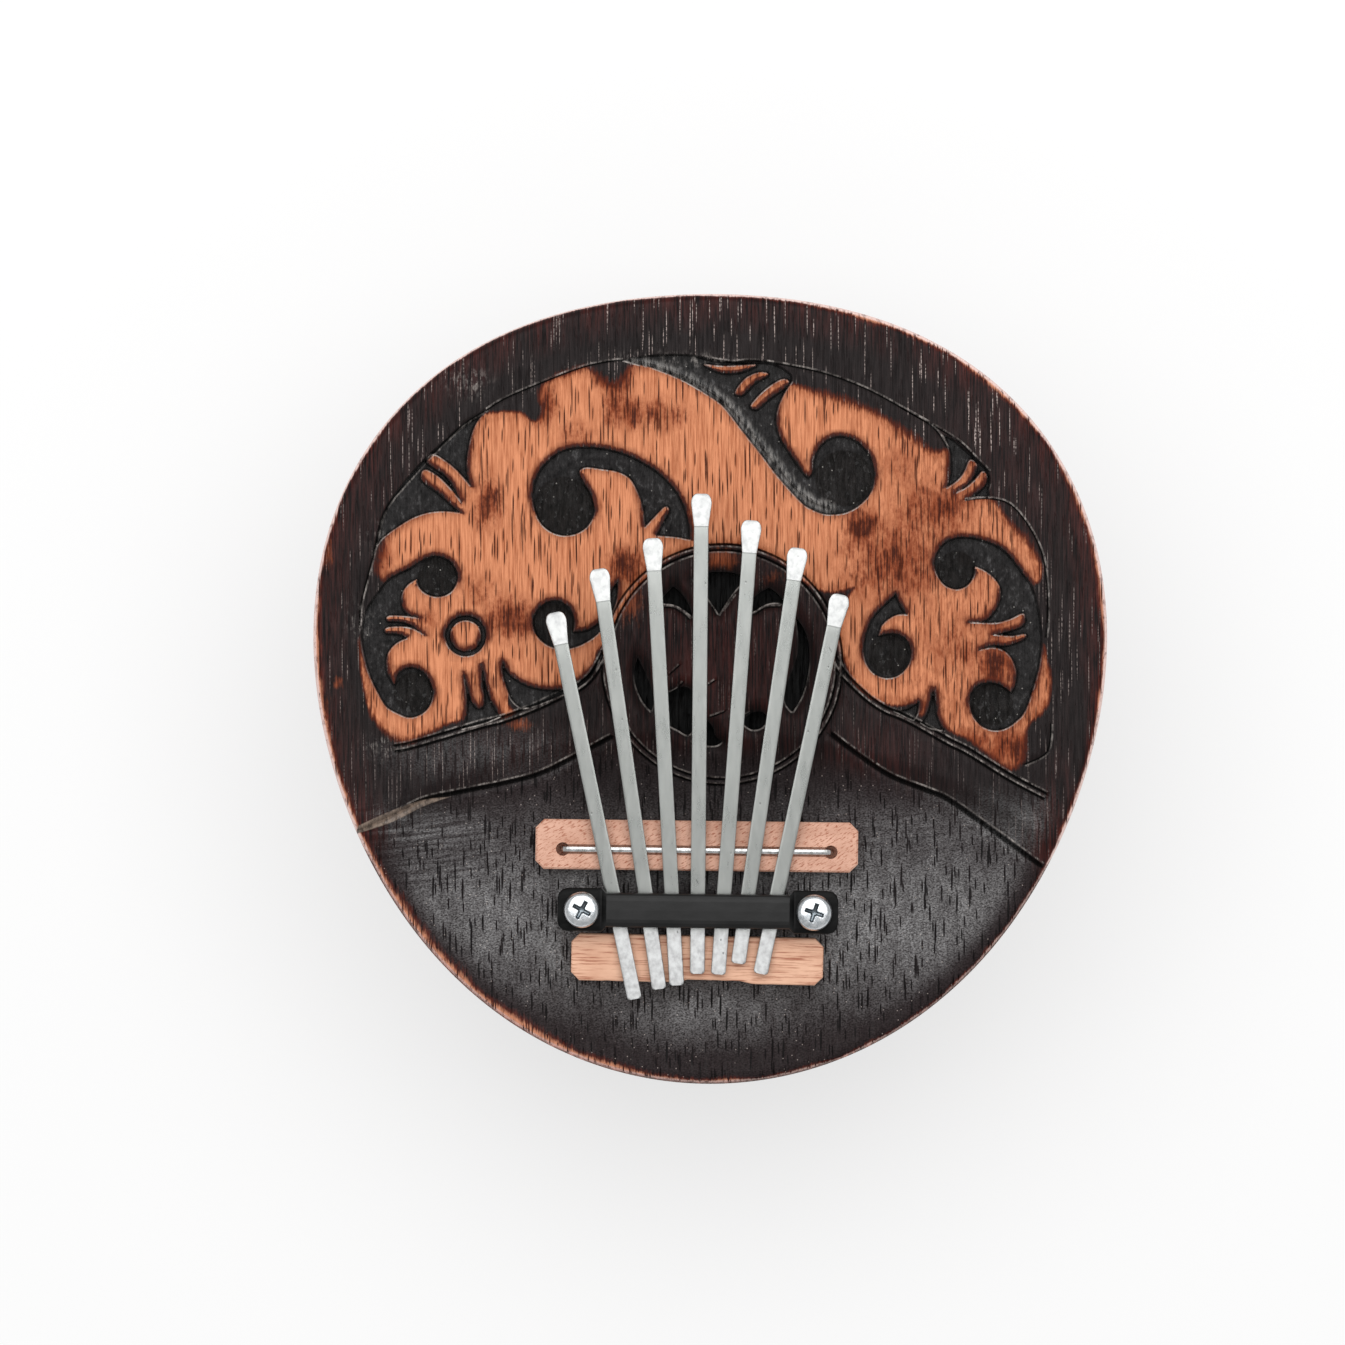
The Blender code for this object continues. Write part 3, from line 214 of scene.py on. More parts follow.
# All drawings on the board are in hundredths of its radius from its middle; a third number marks a corner
POCKETS = {
    "scroll_left": [
        (-44.7, 45), (-43.6, 50.5), (-40.2, 54.8), (-36, 57.2), (-30.5, 57.7), (-25, 57), (-20, 55.4),
        (-15, 52.7), (-11, 49.5), (-8, 45.8), (-6.2, 42), (-5.2, 38), (-5, 34.2, 1), (-8.5, 34.9),
        (-13.6, 35.3, 1), (-12, 38.6), (-10.4, 41.6), (-11.3, 42.6), (-13.2, 40.8), (-16.4, 37.4, 1),
        (-16.8, 41), (-17.8, 45), (-20, 49.3), (-23, 51.2), (-27.5, 52), (-31.3, 52.4), (-32.8, 51.2),
        (-31.4, 48.4), (-29.6, 45), (-29, 41.2), (-30.6, 37.8), (-33.5, 35.8), (-37, 35.3), (-40.5, 36.5),
        (-43.3, 39.5),
    ],
    "scroll_right": [
        (-22, 79.3, 1), (-17, 80.6), (-11, 81), (-5, 80.9), (-1, 79.9), (3, 79.2), (13, 79), (17, 78.2),
        (20.3, 76), (20.6, 74, 1), (18.8, 71.2), (17.3, 68), (16.6, 65), (16.9, 62), (18.3, 58.8),
        (22.6, 52.4), (24.6, 50, 1), (25.6, 51.6), (26, 54.8), (27.5, 57.9), (30.5, 60.1), (34, 60.3),
        (37, 59), (39.6, 56.4), (41, 52.9), (41.2, 49), (40.2, 45.8), (37.6, 43), (34.5, 41.2),
        (31.5, 40.6), (28.5, 40.7), (25.5, 41.8), (22.5, 43.9), (16.5, 50.6), (13.5, 54.6), (7.5, 62.2),
        (4.5, 66.2), (1.5, 69.1), (-6, 73.8), (-14, 77.2), (-18, 78.2),
    ],
    "hook_left": [
        (-69, 30.4), (-65.6, 29.3), (-63.6, 26.6), (-63.5, 23.6), (-65.2, 21), (-68.2, 19.9),
        (-71.2, 20.6), (-73.2, 22.4), (-73.6, 24.4, 1), (-75.8, 23), (-77.3, 20.7), (-77.4, 18.2),
        (-76.2, 16), (-73, 14.6, 1), (-76.5, 15.1), (-80.6, 15.2), (-81, 14), (-78, 13.9), (-75, 13),
        (-71.8, 10.4, 1), (-75, 12.1), (-78, 12.5), (-81.2, 12.2), (-81.4, 11), (-78, 10.7), (-76, 9.6, 1),
        (-78.6, 8.4), (-80.6, 6.2), (-81.3, 3.4), (-80.8, 0.5), (-79.3, -2, 1), (-78.4, 0.7), (-76.4, 2.2),
        (-73.8, 2.2), (-71.4, 0.6), (-70, -1.8), (-69.6, -4.6), (-70.4, -7.5), (-72.6, -9.6),
        (-75.6, -10.4), (-78.6, -9.3), (-81.4, -7.6), (-83.4, -4.4), (-85.3, -0.4), (-86.7, 4), (-87.6, 9),
        (-87.4, 13.5), (-86.2, 17.5), (-81.6, 23.8), (-78.5, 25.9), (-75.2, 27.5), (-72.2, 29.4),
    ],
    "hook_right": [
        (56.2, 28.5), (57.4, 32.2), (60.4, 34.6), (64.5, 35.1), (68.6, 34.3), (72.2, 32.8), (75.2, 30.4),
        (79.3, 25), (80.8, 22.8), (82.2, 18.5), (83.1, 13.5), (83.3, 8.5), (82.9, 4), (81.9, -0.5),
        (79.3, -8.4), (76.8, -11.4), (74, -13.2), (71, -13.6), (68, -12.5), (66, -10.2), (65.1, -7.2),
        (65.3, -4.4), (67, -2.2), (69.6, -1.4), (72.6, -1.9), (75.6, -3.9, 1), (76.6, -1.4), (76.7, 1.2),
        (75.8, 4), (74, 6.2), (71, 7.2), (67.5, 6.6, 1), (70.5, 7.9), (74.5, 7.9), (78.6, 9.4), (79, 10.6),
        (75.5, 10.1), (71, 10.5, 1), (75, 11.5), (78.6, 13), (78.6, 15.8), (75.4, 14.4), (71.5, 13.4),
        (65, 13.6, 1), (69, 14.2), (71.4, 16.6), (72.7, 19.4), (72.6, 22.4), (71, 24.8), (68.7, 26.6),
        (66.4, 27.6, 1), (66.2, 25.2), (64.7, 22.9), (62, 21.8), (59, 22.7), (57, 25.2),
    ],
    "curl_right": [
        (46.6, 20.9, 1), (41.4, 15.8), (39.5, 12.4), (38.6, 9), (38.5, 5.5), (39.5, 2.4), (41.6, 0.3),
        (44.6, -0.5), (47.6, 0.4), (49.8, 2.8), (50.5, 6), (49.6, 9), (47.2, 10.7), (44.6, 10.9),
        (42.3, 10.3, 1), (43.2, 12.8), (45.2, 14.6), (47.3, 15.5), (49.5, 15.5, 1), (48, 17.6),
    ],
    "curl_left": [
        (-34.3, 11.3, 1), (-34.1, 14.6), (-35.4, 17.4), (-38, 19.1), (-41, 18.8), (-43.5, 16.8),
        (-44.6, 13.8), (-44, 10.8), (-42, 8.5), (-39.5, 7.2), (-36.5, 6.8), (-33.5, 7.4), (-30.8, 8.7),
        (-28.2, 10.6), (-26, 13.2), (-24.4, 16.4), (-23.3, 20), (-23.1, 24.2, 1), (-24.9, 21.6),
        (-27, 15.4), (-28.9, 13), (-31.2, 11.7),
    ],
    "corner_left": [
        (-56.3, 66.4, 1), (-59, 65), (-63.5, 62), (-72, 54.6), (-78.5, 47), (-81, 43.2), (-82.6, 39.4),
        (-83.8, 35.2), (-84.6, 30.6, 1), (-83.4, 33.2), (-81.4, 35.4), (-76, 39), (-73, 40.4), (-70, 41.2),
        (-66.5, 41.4), (-62.6, 41, 1), (-68, 46), (-71.4, 48.4), (-72.6, 50), (-71.6, 51.9), (-68.4, 50.2),
        (-65.4, 47.3), (-62.4, 43.6, 1), (-64.2, 47.2), (-66.6, 50.6), (-71, 53.8), (-69.6, 55.8),
        (-66.4, 54), (-63.4, 51.4), (-60.1, 47.6, 1), (-61, 51), (-61, 54.4), (-60.4, 58.6), (-59.3, 62.2),
        (-57.8, 64.8),
    ],
    "corner_right": [
        (58.4, 60.8, 1), (61, 59.6), (66.8, 54.6), (69.9, 51.4), (70.4, 48.8), (70, 46.8), (70.4, 45, 1),
        (67, 45), (64, 44.3, 1), (66.6, 46), (68.8, 48), (69.4, 50.2), (68.4, 51.5), (66.4, 49.3),
        (64.2, 47.4), (61.6, 46.1, 1), (64.4, 48.2), (66.2, 50.6), (66.9, 53), (65.2, 54.4), (63.6, 51),
        (61.6, 48.8), (59.2, 47.2, 1), (60.1, 50.4), (60.3, 53.6), (59.9, 57),
    ],
    "wedge_left": [
        (-52.2, 3.9, 1), (-50.8, 1.2), (-48.2, -1), (-45, -2.5), (-41, -3.2), (-37, -3), (-33.6, -1.5),
        (-30.6, 0.8), (-27.8, 4.4, 1), (-29.3, 0.6), (-32.4, -2.4), (-36, -4.2), (-44, -7.4),
        (-47.6, -8, 1), (-49.8, -6), (-51.3, -2.6), (-52.2, 0.8),
    ],
    "leaf_left": [
        (-61.9, 0.6, 1), (-60.8, -3), (-59.6, -6.6), (-58, -8), (-56.8, -6.6), (-57.2, -2.6),
        (-57.4, 3, 1), (-55.6, -4.4), (-54.2, -7.6), (-52.6, -10, 1), (-57, -11.8), (-62.4, -13.2, 1),
        (-61.2, -9.6), (-61.2, -5),
    ],
    "spur_right": [
        (55.9, -3, 1), (56.7, -6.5), (57.1, -10), (58.8, -13.6, 1), (55.4, -13), (52.8, -11.6, 1),
        (54.6, -8.6),
    ],
    "notch_right": [(46, -8.6, 1), (49.4, -8), (52.4, -6.2, 1), (52.2, -9), (51, -11, 1)],
}

# Leaf folds left standing inside the right scroll
FOLDS = [
    [(-1.5, 78.3), (3, 76.3), (8, 76.6), (11.5, 78.2), (8, 78.1), (3, 77.9)],
    [(6.2, 71.2), (8.2, 70.8), (11, 73.6), (14.6, 75.8), (12, 76.3), (8.6, 74.6)],
    [(10.2, 68), (11.8, 67.2), (14.6, 69.6), (19.6, 73.4), (18, 74.6), (13.6, 71.8)],
]

# Gaps pierced through the board between the petals of the rosette
GAPS = [
    [
        (-4.5, 24.5, 1), (-1, 26), (2.5, 26.3), (6, 26), (9.5, 24.5, 1), (6.9, 22.4), (4.7, 19.6),
        (2.2, 15.6, 1), (-2.2, 22),
    ],
    [
        (-13.6, 18.3, 1), (-9.3, 22.8, 1), (-7.1, 20.8), (-5.3, 18), (-4.4, 15, 1), (-6.4, 16.6),
        (-8.7, 17.9), (-11, 18.3),
    ],
    [
        (9.2, 15.8, 1), (10.2, 18.8), (12.2, 21), (14.8, 22.4, 1), (17, 20.7), (19, 18.2, 1), (16, 18.6),
        (13.4, 17.9), (11.2, 16.5),
    ],
    [
        (21.4, 15, 1), (23.4, 12.2), (24.6, 8.6), (24.9, 4), (24.2, -1), (22.8, -5.4), (20.6, -9, 1),
        (18.8, -6.6), (18.9, -3), (21.6, 4.4), (22.1, 8.4), (21.9, 12),
    ],
    [(-18.2, 5, 1), (-19.1, 1.5), (-18.6, -2.6), (-16.9, -6.4), (-14.8, -8.8, 1), (-14.2, -6), (-15.1, -2)],
    [
        (-12.8, -8.4), (-12.2, -5.4), (-10.3, -4), (-7.6, -2.6), (-5.3, -2.9), (-4.1, -5.2), (-3.8, -9),
        (-4.2, -12.6), (-5.5, -14.7), (-8, -13.5), (-11.2, -11.6),
    ],
    [
        (-2.2, -11.9), (-0.8, -11.2), (0.7, -12.8), (1.4, -15), (3, -16.4, 1), (1.4, -17.3), (-1.4, -17.1),
        (-2.7, -14.6),
    ],
    [(8.2, -11.4), (10.3, -9.1), (13.2, -8.9), (14.3, -10.6), (13, -12.8), (10.4, -13.3)],
]

# Round pits sunk at the ends of the scrolls: middle and radius
PITS = [
    (-36.8, 42.8, 7.6), (33.5, 49.8, 7.3), (-68.6, 25, 5.1), (-74.6, -4, 5.2), (61.8, 26.8, 5),
    (70.8, -7, 5.5), (44.8, 5.5, 5.3), (-39.3, 13.2, 5.3),
]
SMALL_RING = (-61.4, 10.2, 4.5)
ROSETTE_RING = (3, 3, 29.5)

# The leaf that was masked off when the board was stained dark
LEAF = [
    (-20, 77.8), (-16, 79), (-10, 77.8), (-4, 76.5), (2, 73), (8, 70), (13, 70), (18.2, 73.3),
    (23.5, 72.6), (27, 71.3), (31, 70.3), (42, 66), (48, 61.8), (51, 60), (55.5, 56.6), (60.8, 57),
    (64.5, 54.8), (66.5, 54.2), (67.5, 52.8), (69.3, 51), (69.8, 49), (68.5, 47.2), (66, 45), (70, 44.6),
    (71.5, 43.5), (75, 38.8), (79.5, 34), (82.8, 28.5), (83.2, 26), (82.6, 24), (81.3, 23.2), (80.5, 23.5),
    (78, 20), (79.2, 16.5), (79.3, 12.5), (79.5, 9), (77.5, 6), (77.5, 0), (78.5, -4), (82.5, 6.5),
    (83.7, 8), (84.6, 4), (85.4, 0), (85.4, -3.5), (84.6, -7), (82.8, -9.6), (80.3, -11.7), (79.2, -14),
    (78.8, -20), (77.5, -22), (75.5, -23), (73.5, -22.3), (71, -20.3), (65, -15.8), (61.5, -14.3),
    (58.8, -12.6), (57.4, -10), (55.8, -3.5), (54.5, -7), (53, -10), (51.5, -6.5), (49, -7.2), (46, -7.3),
    (43, -6.6), (40, -5), (37.5, -3), (35.5, -0.5), (32.4, 7), (31.9, 11), (32.3, 15), (34.5, 20),
    (36.5, 22.5, 1), (33, 21.5), (29.5, 21.2), (26.5, 22), (24, 23.4), (22.3, 25.5), (19, 28), (13, 31.5),
    (8, 33), (-2, 32.9), (-7, 31.2), (-12, 28.5), (-17, 23.5), (-22.5, 16), (-24, 13), (-28.5, 6),
    (-29, 3), (-30.5, 0.5), (-36, -3), (-41, -3.4), (-46, -4), (-50, -4), (-51, -6), (-50, -8), (-49, -9),
    (-51.5, -10), (-53.2, -9.8), (-55, -6), (-56, -8), (-58, -8.7), (-59.5, -7.5), (-61.3, -9.5),
    (-63, -11), (-66, -12), (-74, -15.6), (-77.5, -16.3), (-80, -15), (-82.5, -13), (-84.5, -10.3),
    (-86, -7), (-87.8, 2), (-88, 6), (-87.7, 10), (-84, 12), (-82, 16), (-80, 20), (-79, 23.5),
    (-81.5, 24.3), (-83, 25.5), (-83.5, 28), (-81.3, 34.8), (-80, 37), (-76, 40), (-72, 42), (-70, 44),
    (-71.5, 47.5), (-73, 50), (-70.8, 54.5), (-69, 56.3), (-66, 55), (-63, 53), (-61.5, 55), (-61, 59),
    (-59.8, 62.5), (-57.8, 65), (-55.5, 66.2), (-48.5, 66.5), (-46.5, 65.5), (-44.5, 64), (-42.8, 64.8),
    (-42.2, 67), (-43, 70), (-42.5, 72.5), (-41, 73.8), (-38, 75.5), (-34, 77), (-31, 77.3), (-27, 74.6),
    (-24.5, 73.6), (-22.3, 74.6),
]

# Gouged lines: half the distance between a pair of lines or 0, half the width in millimetres, and the course
LINES = {
    "rim_left": (0, 0.2, [(-56, 67), (-50, 70.5), (-34, 77), (-26, 79), (-22, 79.4)]),
    "rim_left_low": (0, 0.2, [
        (-56, 67), (-63.5, 62), (-76, 49), (-82, 41), (-84.7, 30), (-87.5, 19), (-88, 13),
    ]),
    "rim_right": (0, 0.2, [
        (-2, 80.2), (5, 79), (11, 79.3), (20, 78), (30, 75.7), (40, 71.8), (50, 66.3), (56, 62.5),
        (59.5, 57.5),
    ]),
    "rim_right_low": (0, 0.2, [(48, 67.5), (61, 60), (67, 54.5), (70, 51.5)]),
    "lobe_right": (0, 0.2, [
        (64, 44.3), (70, 44.7), (75.5, 43), (80.5, 36.8), (83.7, 29), (84.7, 18), (84.3, 10),
    ]),
    "corner_low": (0, 0.2, [(85.5, -12), (85.3, -16), (84, -19.5), (79, -22)]),
    "border_left": (0.75, 0.3, [
        (-79, -18), (-74, -17), (-58, -12.3), (-52, -10.8), (-44, -7.8), (-36.5, -4.3), (-33, -2.8),
        (-30, -0.2), (-27.5, 3.6), (-24.5, 9.5),
    ]),
    "border_right": (0.75, 0.3, [
        (31, 4.5), (33, 1), (36, -2.2), (40, -5.8), (44, -8.4), (48, -10), (52, -12), (60, -16.5),
        (65, -19), (75, -25.2), (84, -30),
    ]),
    "wing_left": (0, 0.52, [
        (-87.8, -38.5), (-78.2, -34), (-71.7, -30.9), (-64.1, -29.2), (-52.5, -26.9), (-42.9, -24.4),
        (-34.6, -20.4), (-24.8, -15.1),
    ]),
    "wing_right": (0, 0.55, [
        (30.5, -14.5), (36, -18.8), (45, -24.8), (55, -28.8), (60, -31), (70.7, -38.5), (83.2, -47.6),
    ]),
    "petal_1": (0, 0.2, [(-12, 17.3), (-9.5, 17.3), (-6.5, 15.6), (-5.3, 14.3)]),
    "petal_2": (0, 0.2, [(11, 15.5), (14, 17.3), (17.5, 17.5)]),
    "petal_3": (0, 0.2, [(-0.5, 19.5), (1.5, 15.5)]),
    "petal_4": (0, 0.2, [(6, 20.8), (3, 16.8)]),
    "petal_5": (0, 0.2, [(-10.5, -4.2), (-8.5, -3.4), (-6.8, -1.4)]),
    "petal_6": (0, 0.2, [(-10, 0.7), (-7.8, 2.8)]),
    "petal_7": (0, 0.2, [(-0.3, -2), (1.2, -1)]),
    "petal_8": (0, 0.2, [(0, -10.2), (3.5, -8.9)]),
    "petal_9": (0, 0.2, [(8.5, -9.8), (10, -9)]),
}
RING_LINE = 0.26
LINE_SLOPE = 1.1
LIT_EDGE = 0.07 * MM

# A ridge left standing along the lower wall of the right scroll
RIDGE = [
    (-23, 79.4), (-15, 78.2), (-8, 75.9), (-1, 72.4), (5, 67.6), (10, 61.6), (20, 49), (25, 44.4),
    (30, 42.4),
]
RIDGE_HEIGHT = 0.5 * MM
RIDGE_HALF_WIDTH = 0.4 * MM

# Soft spots, each with its middle, half width, half height and strength: scorches on the leaf
SCORCHES = [
    (-24, 75, 4, 4, 1.1), (-24, 68, 3.5, 5, 0.8), (-20, 66, 3, 3.5, 0.95), (-41.5, 68, 3, 5, 0.85),
    (-33.5, 60, 4, 4, 0.5), (-56, 44, 4, 7, 0.65), (-58, 21.5, 5, 4, 0.5), (-50, 14.5, 6, 5, 0.85),
    (-21, 27, 4.5, 5, 1.0), (-71, 15, 3, 3, 0.6), (-83, 30, 3, 4, 0.6), (38.4, 37.6, 4.5, 4, 1.15),
    (46, 29, 12, 10, 0.7), (55, 41, 10, 7, 0.65), (60, 42, 3, 4, 0.95), (47, 52, 5, 7, 0.3),
    (72, 3, 4.5, 5.5, 1.15), (72, 13, 4, 4, 0.6), (75, -18, 6, 4, 0.95), (62, 8, 7, 7, 0.4),
    (-12, 66, 7, 4, 0.55), (67, -16, 6, 3, 0.5), (-66, 45, 6, 3, 0.3),
]

# Pale scuffs on the dark ground; the last two are painted glints at the top of the right scroll
SCUFFS_AND_GLINTS = [
    (-82, -17.5, 4, 2.5, 0.9), (-61, 74, 4.5, 3, 1.0), (-88, 14, 3, 4, 0.6), (-84, 36, 3, 3, 0.3),
    (-14, 80, 7, 1.5, 0.9), (-2, 79.5, 6, 1.5, 0.9),
]

# Where the rim's pores are filled with pale dust
DUSTY_PORES = [
    (5, 92, 50, 14, 1.0), (62, 70, 30, 26, 1.0), (92, 10, 12, 50, 0.3), (-72, 62, 30, 24, 0.5),
    (-92, 20, 8, 40, 0.35), (-50, -20, 40, 8, 0.3),
]

NO_DUST = -0.2

# The right part of the leaf is browner, from one place across the board to another, give or take
BROWN_PART = (25, 60)
BROWN_UNEVEN = 10

# Where the stain fades softly into the leaf
SOFT_EDGES = [
    (35, 69, 14, 6, 1.0), (50, 61, 8, 8, 1.0), (78, 36, 8, 8, 0.7), (-78, -15, 8, 6, 0.7),
    (75, -20, 8, 6, 0.7), (-30, 76, 12, 5, 0.8), (-83, 30, 4, 8, 0.8),
]

# Where the deck is polished, where its gloss is taken away to stand in for the shade between the bar and the
# front bridge, where the stain shows red, and where it is thin enough to show the wood
POLISHED = [
    (5, -60, 110, 20, 1.1), (-2, -84, 24, 8, 0.68), (70, -40, 45, 9, 0.55), (-72, -39, 25, 6, 0.5),
    (-55, -20, 30, 7, 0.25),
]
DULLED_IN_SHADE = [(-4, -58, 30, 8, 1.0)]
POLISH_EDGE = (1 * MM, 6 * MM)
RIPPLED = [(-72, -42, 20, 9, 1.0), (35, -38, 40, 6, 0.4)]
RED_STAIN = [
    (82, 58, 22, 26, 0.3), (93, 60, 7, 16, 0.9), (78, 78, 10, 9, 0.9), (40, 95, 30, 5, 0.7),
    (-84, 48, 12, 16, 0.25), (-45, -18, 30, 8, 0.15), (3, 3, 25, 25, 0.7), (40, -20, 14, 12, 0.4),
]
BRONZE = [
    (3, 29.5, 5, 3, 1.0), (-9, 33, 4, 2.5, 0.9), (-20.5, 19, 4, 6, 0.9), (16, 25, 6, 3, 0.5),
    (-48, -12, 4, 2, 0.8), (-93.5, -1.5, 1.4, 2, 0.9), (-96, 31, 1.6, 5, 0.8), (-96.5, -8, 1.2, 4, 0.7),
]

# Width of the bare wood along the board's edge, whose outer rim is a painted highlight, and where it is wider
# or
# narrower: a turn and a half width in degrees, and millimetres
WORN_LIT_EDGE = 0.5
WORN_LIT_UNEVEN = 0.6
WORN_LIT_PLACES = [(-128, 32, 1.0), (180, 12, 0.6), (10, 40, 0.4), (52, 26, 0.3), (112, 28, -0.24)]

# The pale gouge at the left end of the wing
GOUGE = [
    (-89.2, -39.6, 1), (-80, -36.6), (-72, -32.6), (-65, -30.1, 1), (-72, -30.9), (-80, -33.6),
    (-88.4, -37.4, 1),
]


def smooth_line(points, steps, closed):
    """Points along a smooth line through the given points, sharp at the marked corners."""
    count = len(points)
    line = []
    for index in range(count if closed else count - 1):
        if closed:
            before, start, end, after = (points[(index + shift) % count] for shift in (-1, 0, 1, 2))
        else:
            shifts = (min(max(index + shift, 0), count - 1) for shift in (-1, 0, 1, 2))
            before, start, end, after = (points[shift] for shift in shifts)
        if len(start) == 3:
            before = start
        if len(end) == 3:
            after = end
        a, b, c, d = (np.array(point[:2], float) for point in (before, start, end, after))
        for step in range(steps):
            t = step / steps
            line.append(b + 0.5 * t * (c - a + t * (2 * a - 5 * b + 4 * c - d + t * (3 * (b - c) + d - a))))
    line.append(line[0] if closed else np.array(points[-1][:2], float))
    return np.array(line)


def on_board(line):
    """Turn a drawing's units into places on the board, in metres."""
    return MIDDLE + np.asarray(line, float) * UNIT


def circle(middle, radius, count):
    """A closed circle."""
    turn = np.linspace(0, 2 * math.pi, count + 1)
    return np.asarray(middle) + radius * np.stack((np.cos(turn), np.sin(turn)), 1)


def resampled(line, spacing):
    """The same line with points at an even spacing."""
    length = np.concatenate(([0], np.cumsum(np.hypot(*np.diff(line, axis=0).T))))
    places = np.linspace(0, length[-1], max(2, round(length[-1] / spacing) + 1))
    return np.stack([np.interp(places, length, line[:, axis]) for axis in (0, 1)], 1)


def offset(line, distance):
    """The line moved to its left, or to its right for a negative distance."""
    along = np.gradient(line, axis=0)
    if np.allclose(line[0], line[-1]):
        along[0] = along[-1] = line[1] - line[-2]
    along /= np.maximum(np.hypot(*along.T), 1e-12)[:, None]
    return line + distance * np.stack((-along[:, 1], along[:, 0]), 1)


def line_distance(points, line):
    """Distance from each point to a line."""
    best = np.full(len(points), np.inf)
    for start, end in zip(line[:-1], line[1:]):
        along = end - start
        share = np.clip((points - start) @ along / max(along @ along, 1e-18), 0, 1)
        best = np.minimum(best, np.hypot(*(points - start - share[:, None] * along).T))
    return best


def inside(points, loop):
    """Which points lie inside a closed line."""
    found = np.zeros(len(points), bool)
    for (x0, y0), (x1, y1) in zip(loop[:-1], loop[1:]):
        if y0 != y1:
            crosses = (y0 > points[:, 1]) != (y1 > points[:, 1])
            found ^= crosses & (points[:, 0] < (x1 - x0) * (points[:, 1] - y0) / (y1 - y0) + x0)
    return found


def near(points, line, reach):
    """Which points lie in the line's box, grown by a reach."""
    return ((points > line.min(0) - reach) & (points < line.max(0) + reach)).all(1)


def depth_inside(points, loop, reach):
    """Distance from a closed line, above zero inside it; far outside it is minus the reach."""
    result = np.full(len(points), -reach)
    close = near(points, loop, reach)
    found = line_distance(points[close], loop)
    result[close] = np.where(inside(points[close], loop), found, -found)
    return np.maximum(result, -reach)


def ease(value, low, high):
    """Smooth step from 0 at low to 1 at high."""
    t = np.clip((value - low) / (high - low), 0, 1)
    return t * t * (3 - 2 * t)


def rough_noise(points, size, seed):
    """Smooth noise between about -1 and 1 with spots of one size."""
    return np.array([noise.noise(Vector((x / size, y / size, seed))) for x, y in points])


def outline(points, steps=5):
    """A drawing's closed outline on the board."""
    return on_board(smooth_line(points, steps, True))


POCKET_LOOPS = {name: outline(points) for name, points in POCKETS.items()}
FOLD_LOOPS = [outline(points) for points in FOLDS]
GAP_LOOPS = [outline(points) for points in GAPS]
LEAF_LOOP = outline(LEAF, steps=3)
GOUGE_LOOP = outline(GOUGE)
RING_LOOP = circle(on_board(SMALL_RING[:2]), SMALL_RING[2] * UNIT, count=72)
ROSETTE_LOOP = circle(on_board(ROSETTE_RING[:2]), ROSETTE_RING[2] * UNIT, count=180)
RIDGE_LINE = on_board(smooth_line(RIDGE, 6, False))


def line_courses():
    """Every gouged line on the board, a pair as two lines, each with half its width."""
    courses = [(offset(ROSETTE_LOOP, side * RING_PAIR), RING_LINE * MM) for side in (-1, 1)]
    for half_gap, half_width, points in LINES.values():
        middle_line = on_board(smooth_line(points, 6, False))
        sides = (-half_gap, half_gap) if half_gap else (0,)
        courses += [(offset(middle_line, side * UNIT), half_width * MM) for side in sides]
    return courses


LINE_COURSES = line_courses()
LIT_COURSES = [offset(course, half_width + LIT_EDGE) for course, half_width in LINE_COURSES]


def edge_radius(angle):
    """Radius of the board's edge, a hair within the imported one."""
    return BOARD_RADIUS - EDGE_TRIM + BOARD_LOBE * np.sin(3 * angle) - BOARD_SQUARE * np.cos(4 * angle)


def edge_loop(inset, count):
    """The board's edge moved inwards."""
    turn = np.linspace(0, 2 * math.pi, count + 1)
    return MIDDLE + (edge_radius(turn) - inset)[:, None] * np.stack((np.cos(turn), np.sin(turn)), 1)


def from_edge(points):
    """Distance from the board's edge, inwards."""
    reach = points - MIDDLE
    return edge_radius(np.arctan2(reach[:, 1], reach[:, 0])) - np.hypot(*reach.T)


def dish_drop(points):
    """How far the dished playing end lies below the board's face."""
    reach = (points - DISH_MIDDLE) * (DISH_HALF[1] / DISH_HALF)
    up_cove = np.clip((np.hypot(*reach.T) - DISH_HALF[1]) / DISH_COVE, 0, 1)
    return DISH_DROP * (1 - up_cove ** 2)


def pocket_depth(points):
    """Distance into the nearest pocket, from its edge; below zero outside all pockets."""
    best = RING_HALF_WIDTH - line_distance(points, RING_LOOP)
    best = np.maximum(best, -CARVE_REACH)
    for name, loop in POCKET_LOOPS.items():
        found = depth_inside(points, loop, CARVE_REACH)
        if name == "scroll_right":
            for fold in FOLD_LOOPS:
                found = np.minimum(found, -depth_inside(points, fold, CARVE_REACH))
        best = np.maximum(best, found)
    return best


def gap_depth(points):
    """Distance into the nearest pierced gap, from its edge; below zero outside all gaps."""
    return np.max([depth_inside(points, loop, CARVE_REACH) for loop in GAP_LOOPS], 0)


def rows_beside(line, kind):
    """Rows of points along and beside a line."""
    spacing, sides = ROWS[kind]
    even = resampled(line, spacing * MM)
    return [offset(even, side * MM) for side in sides]


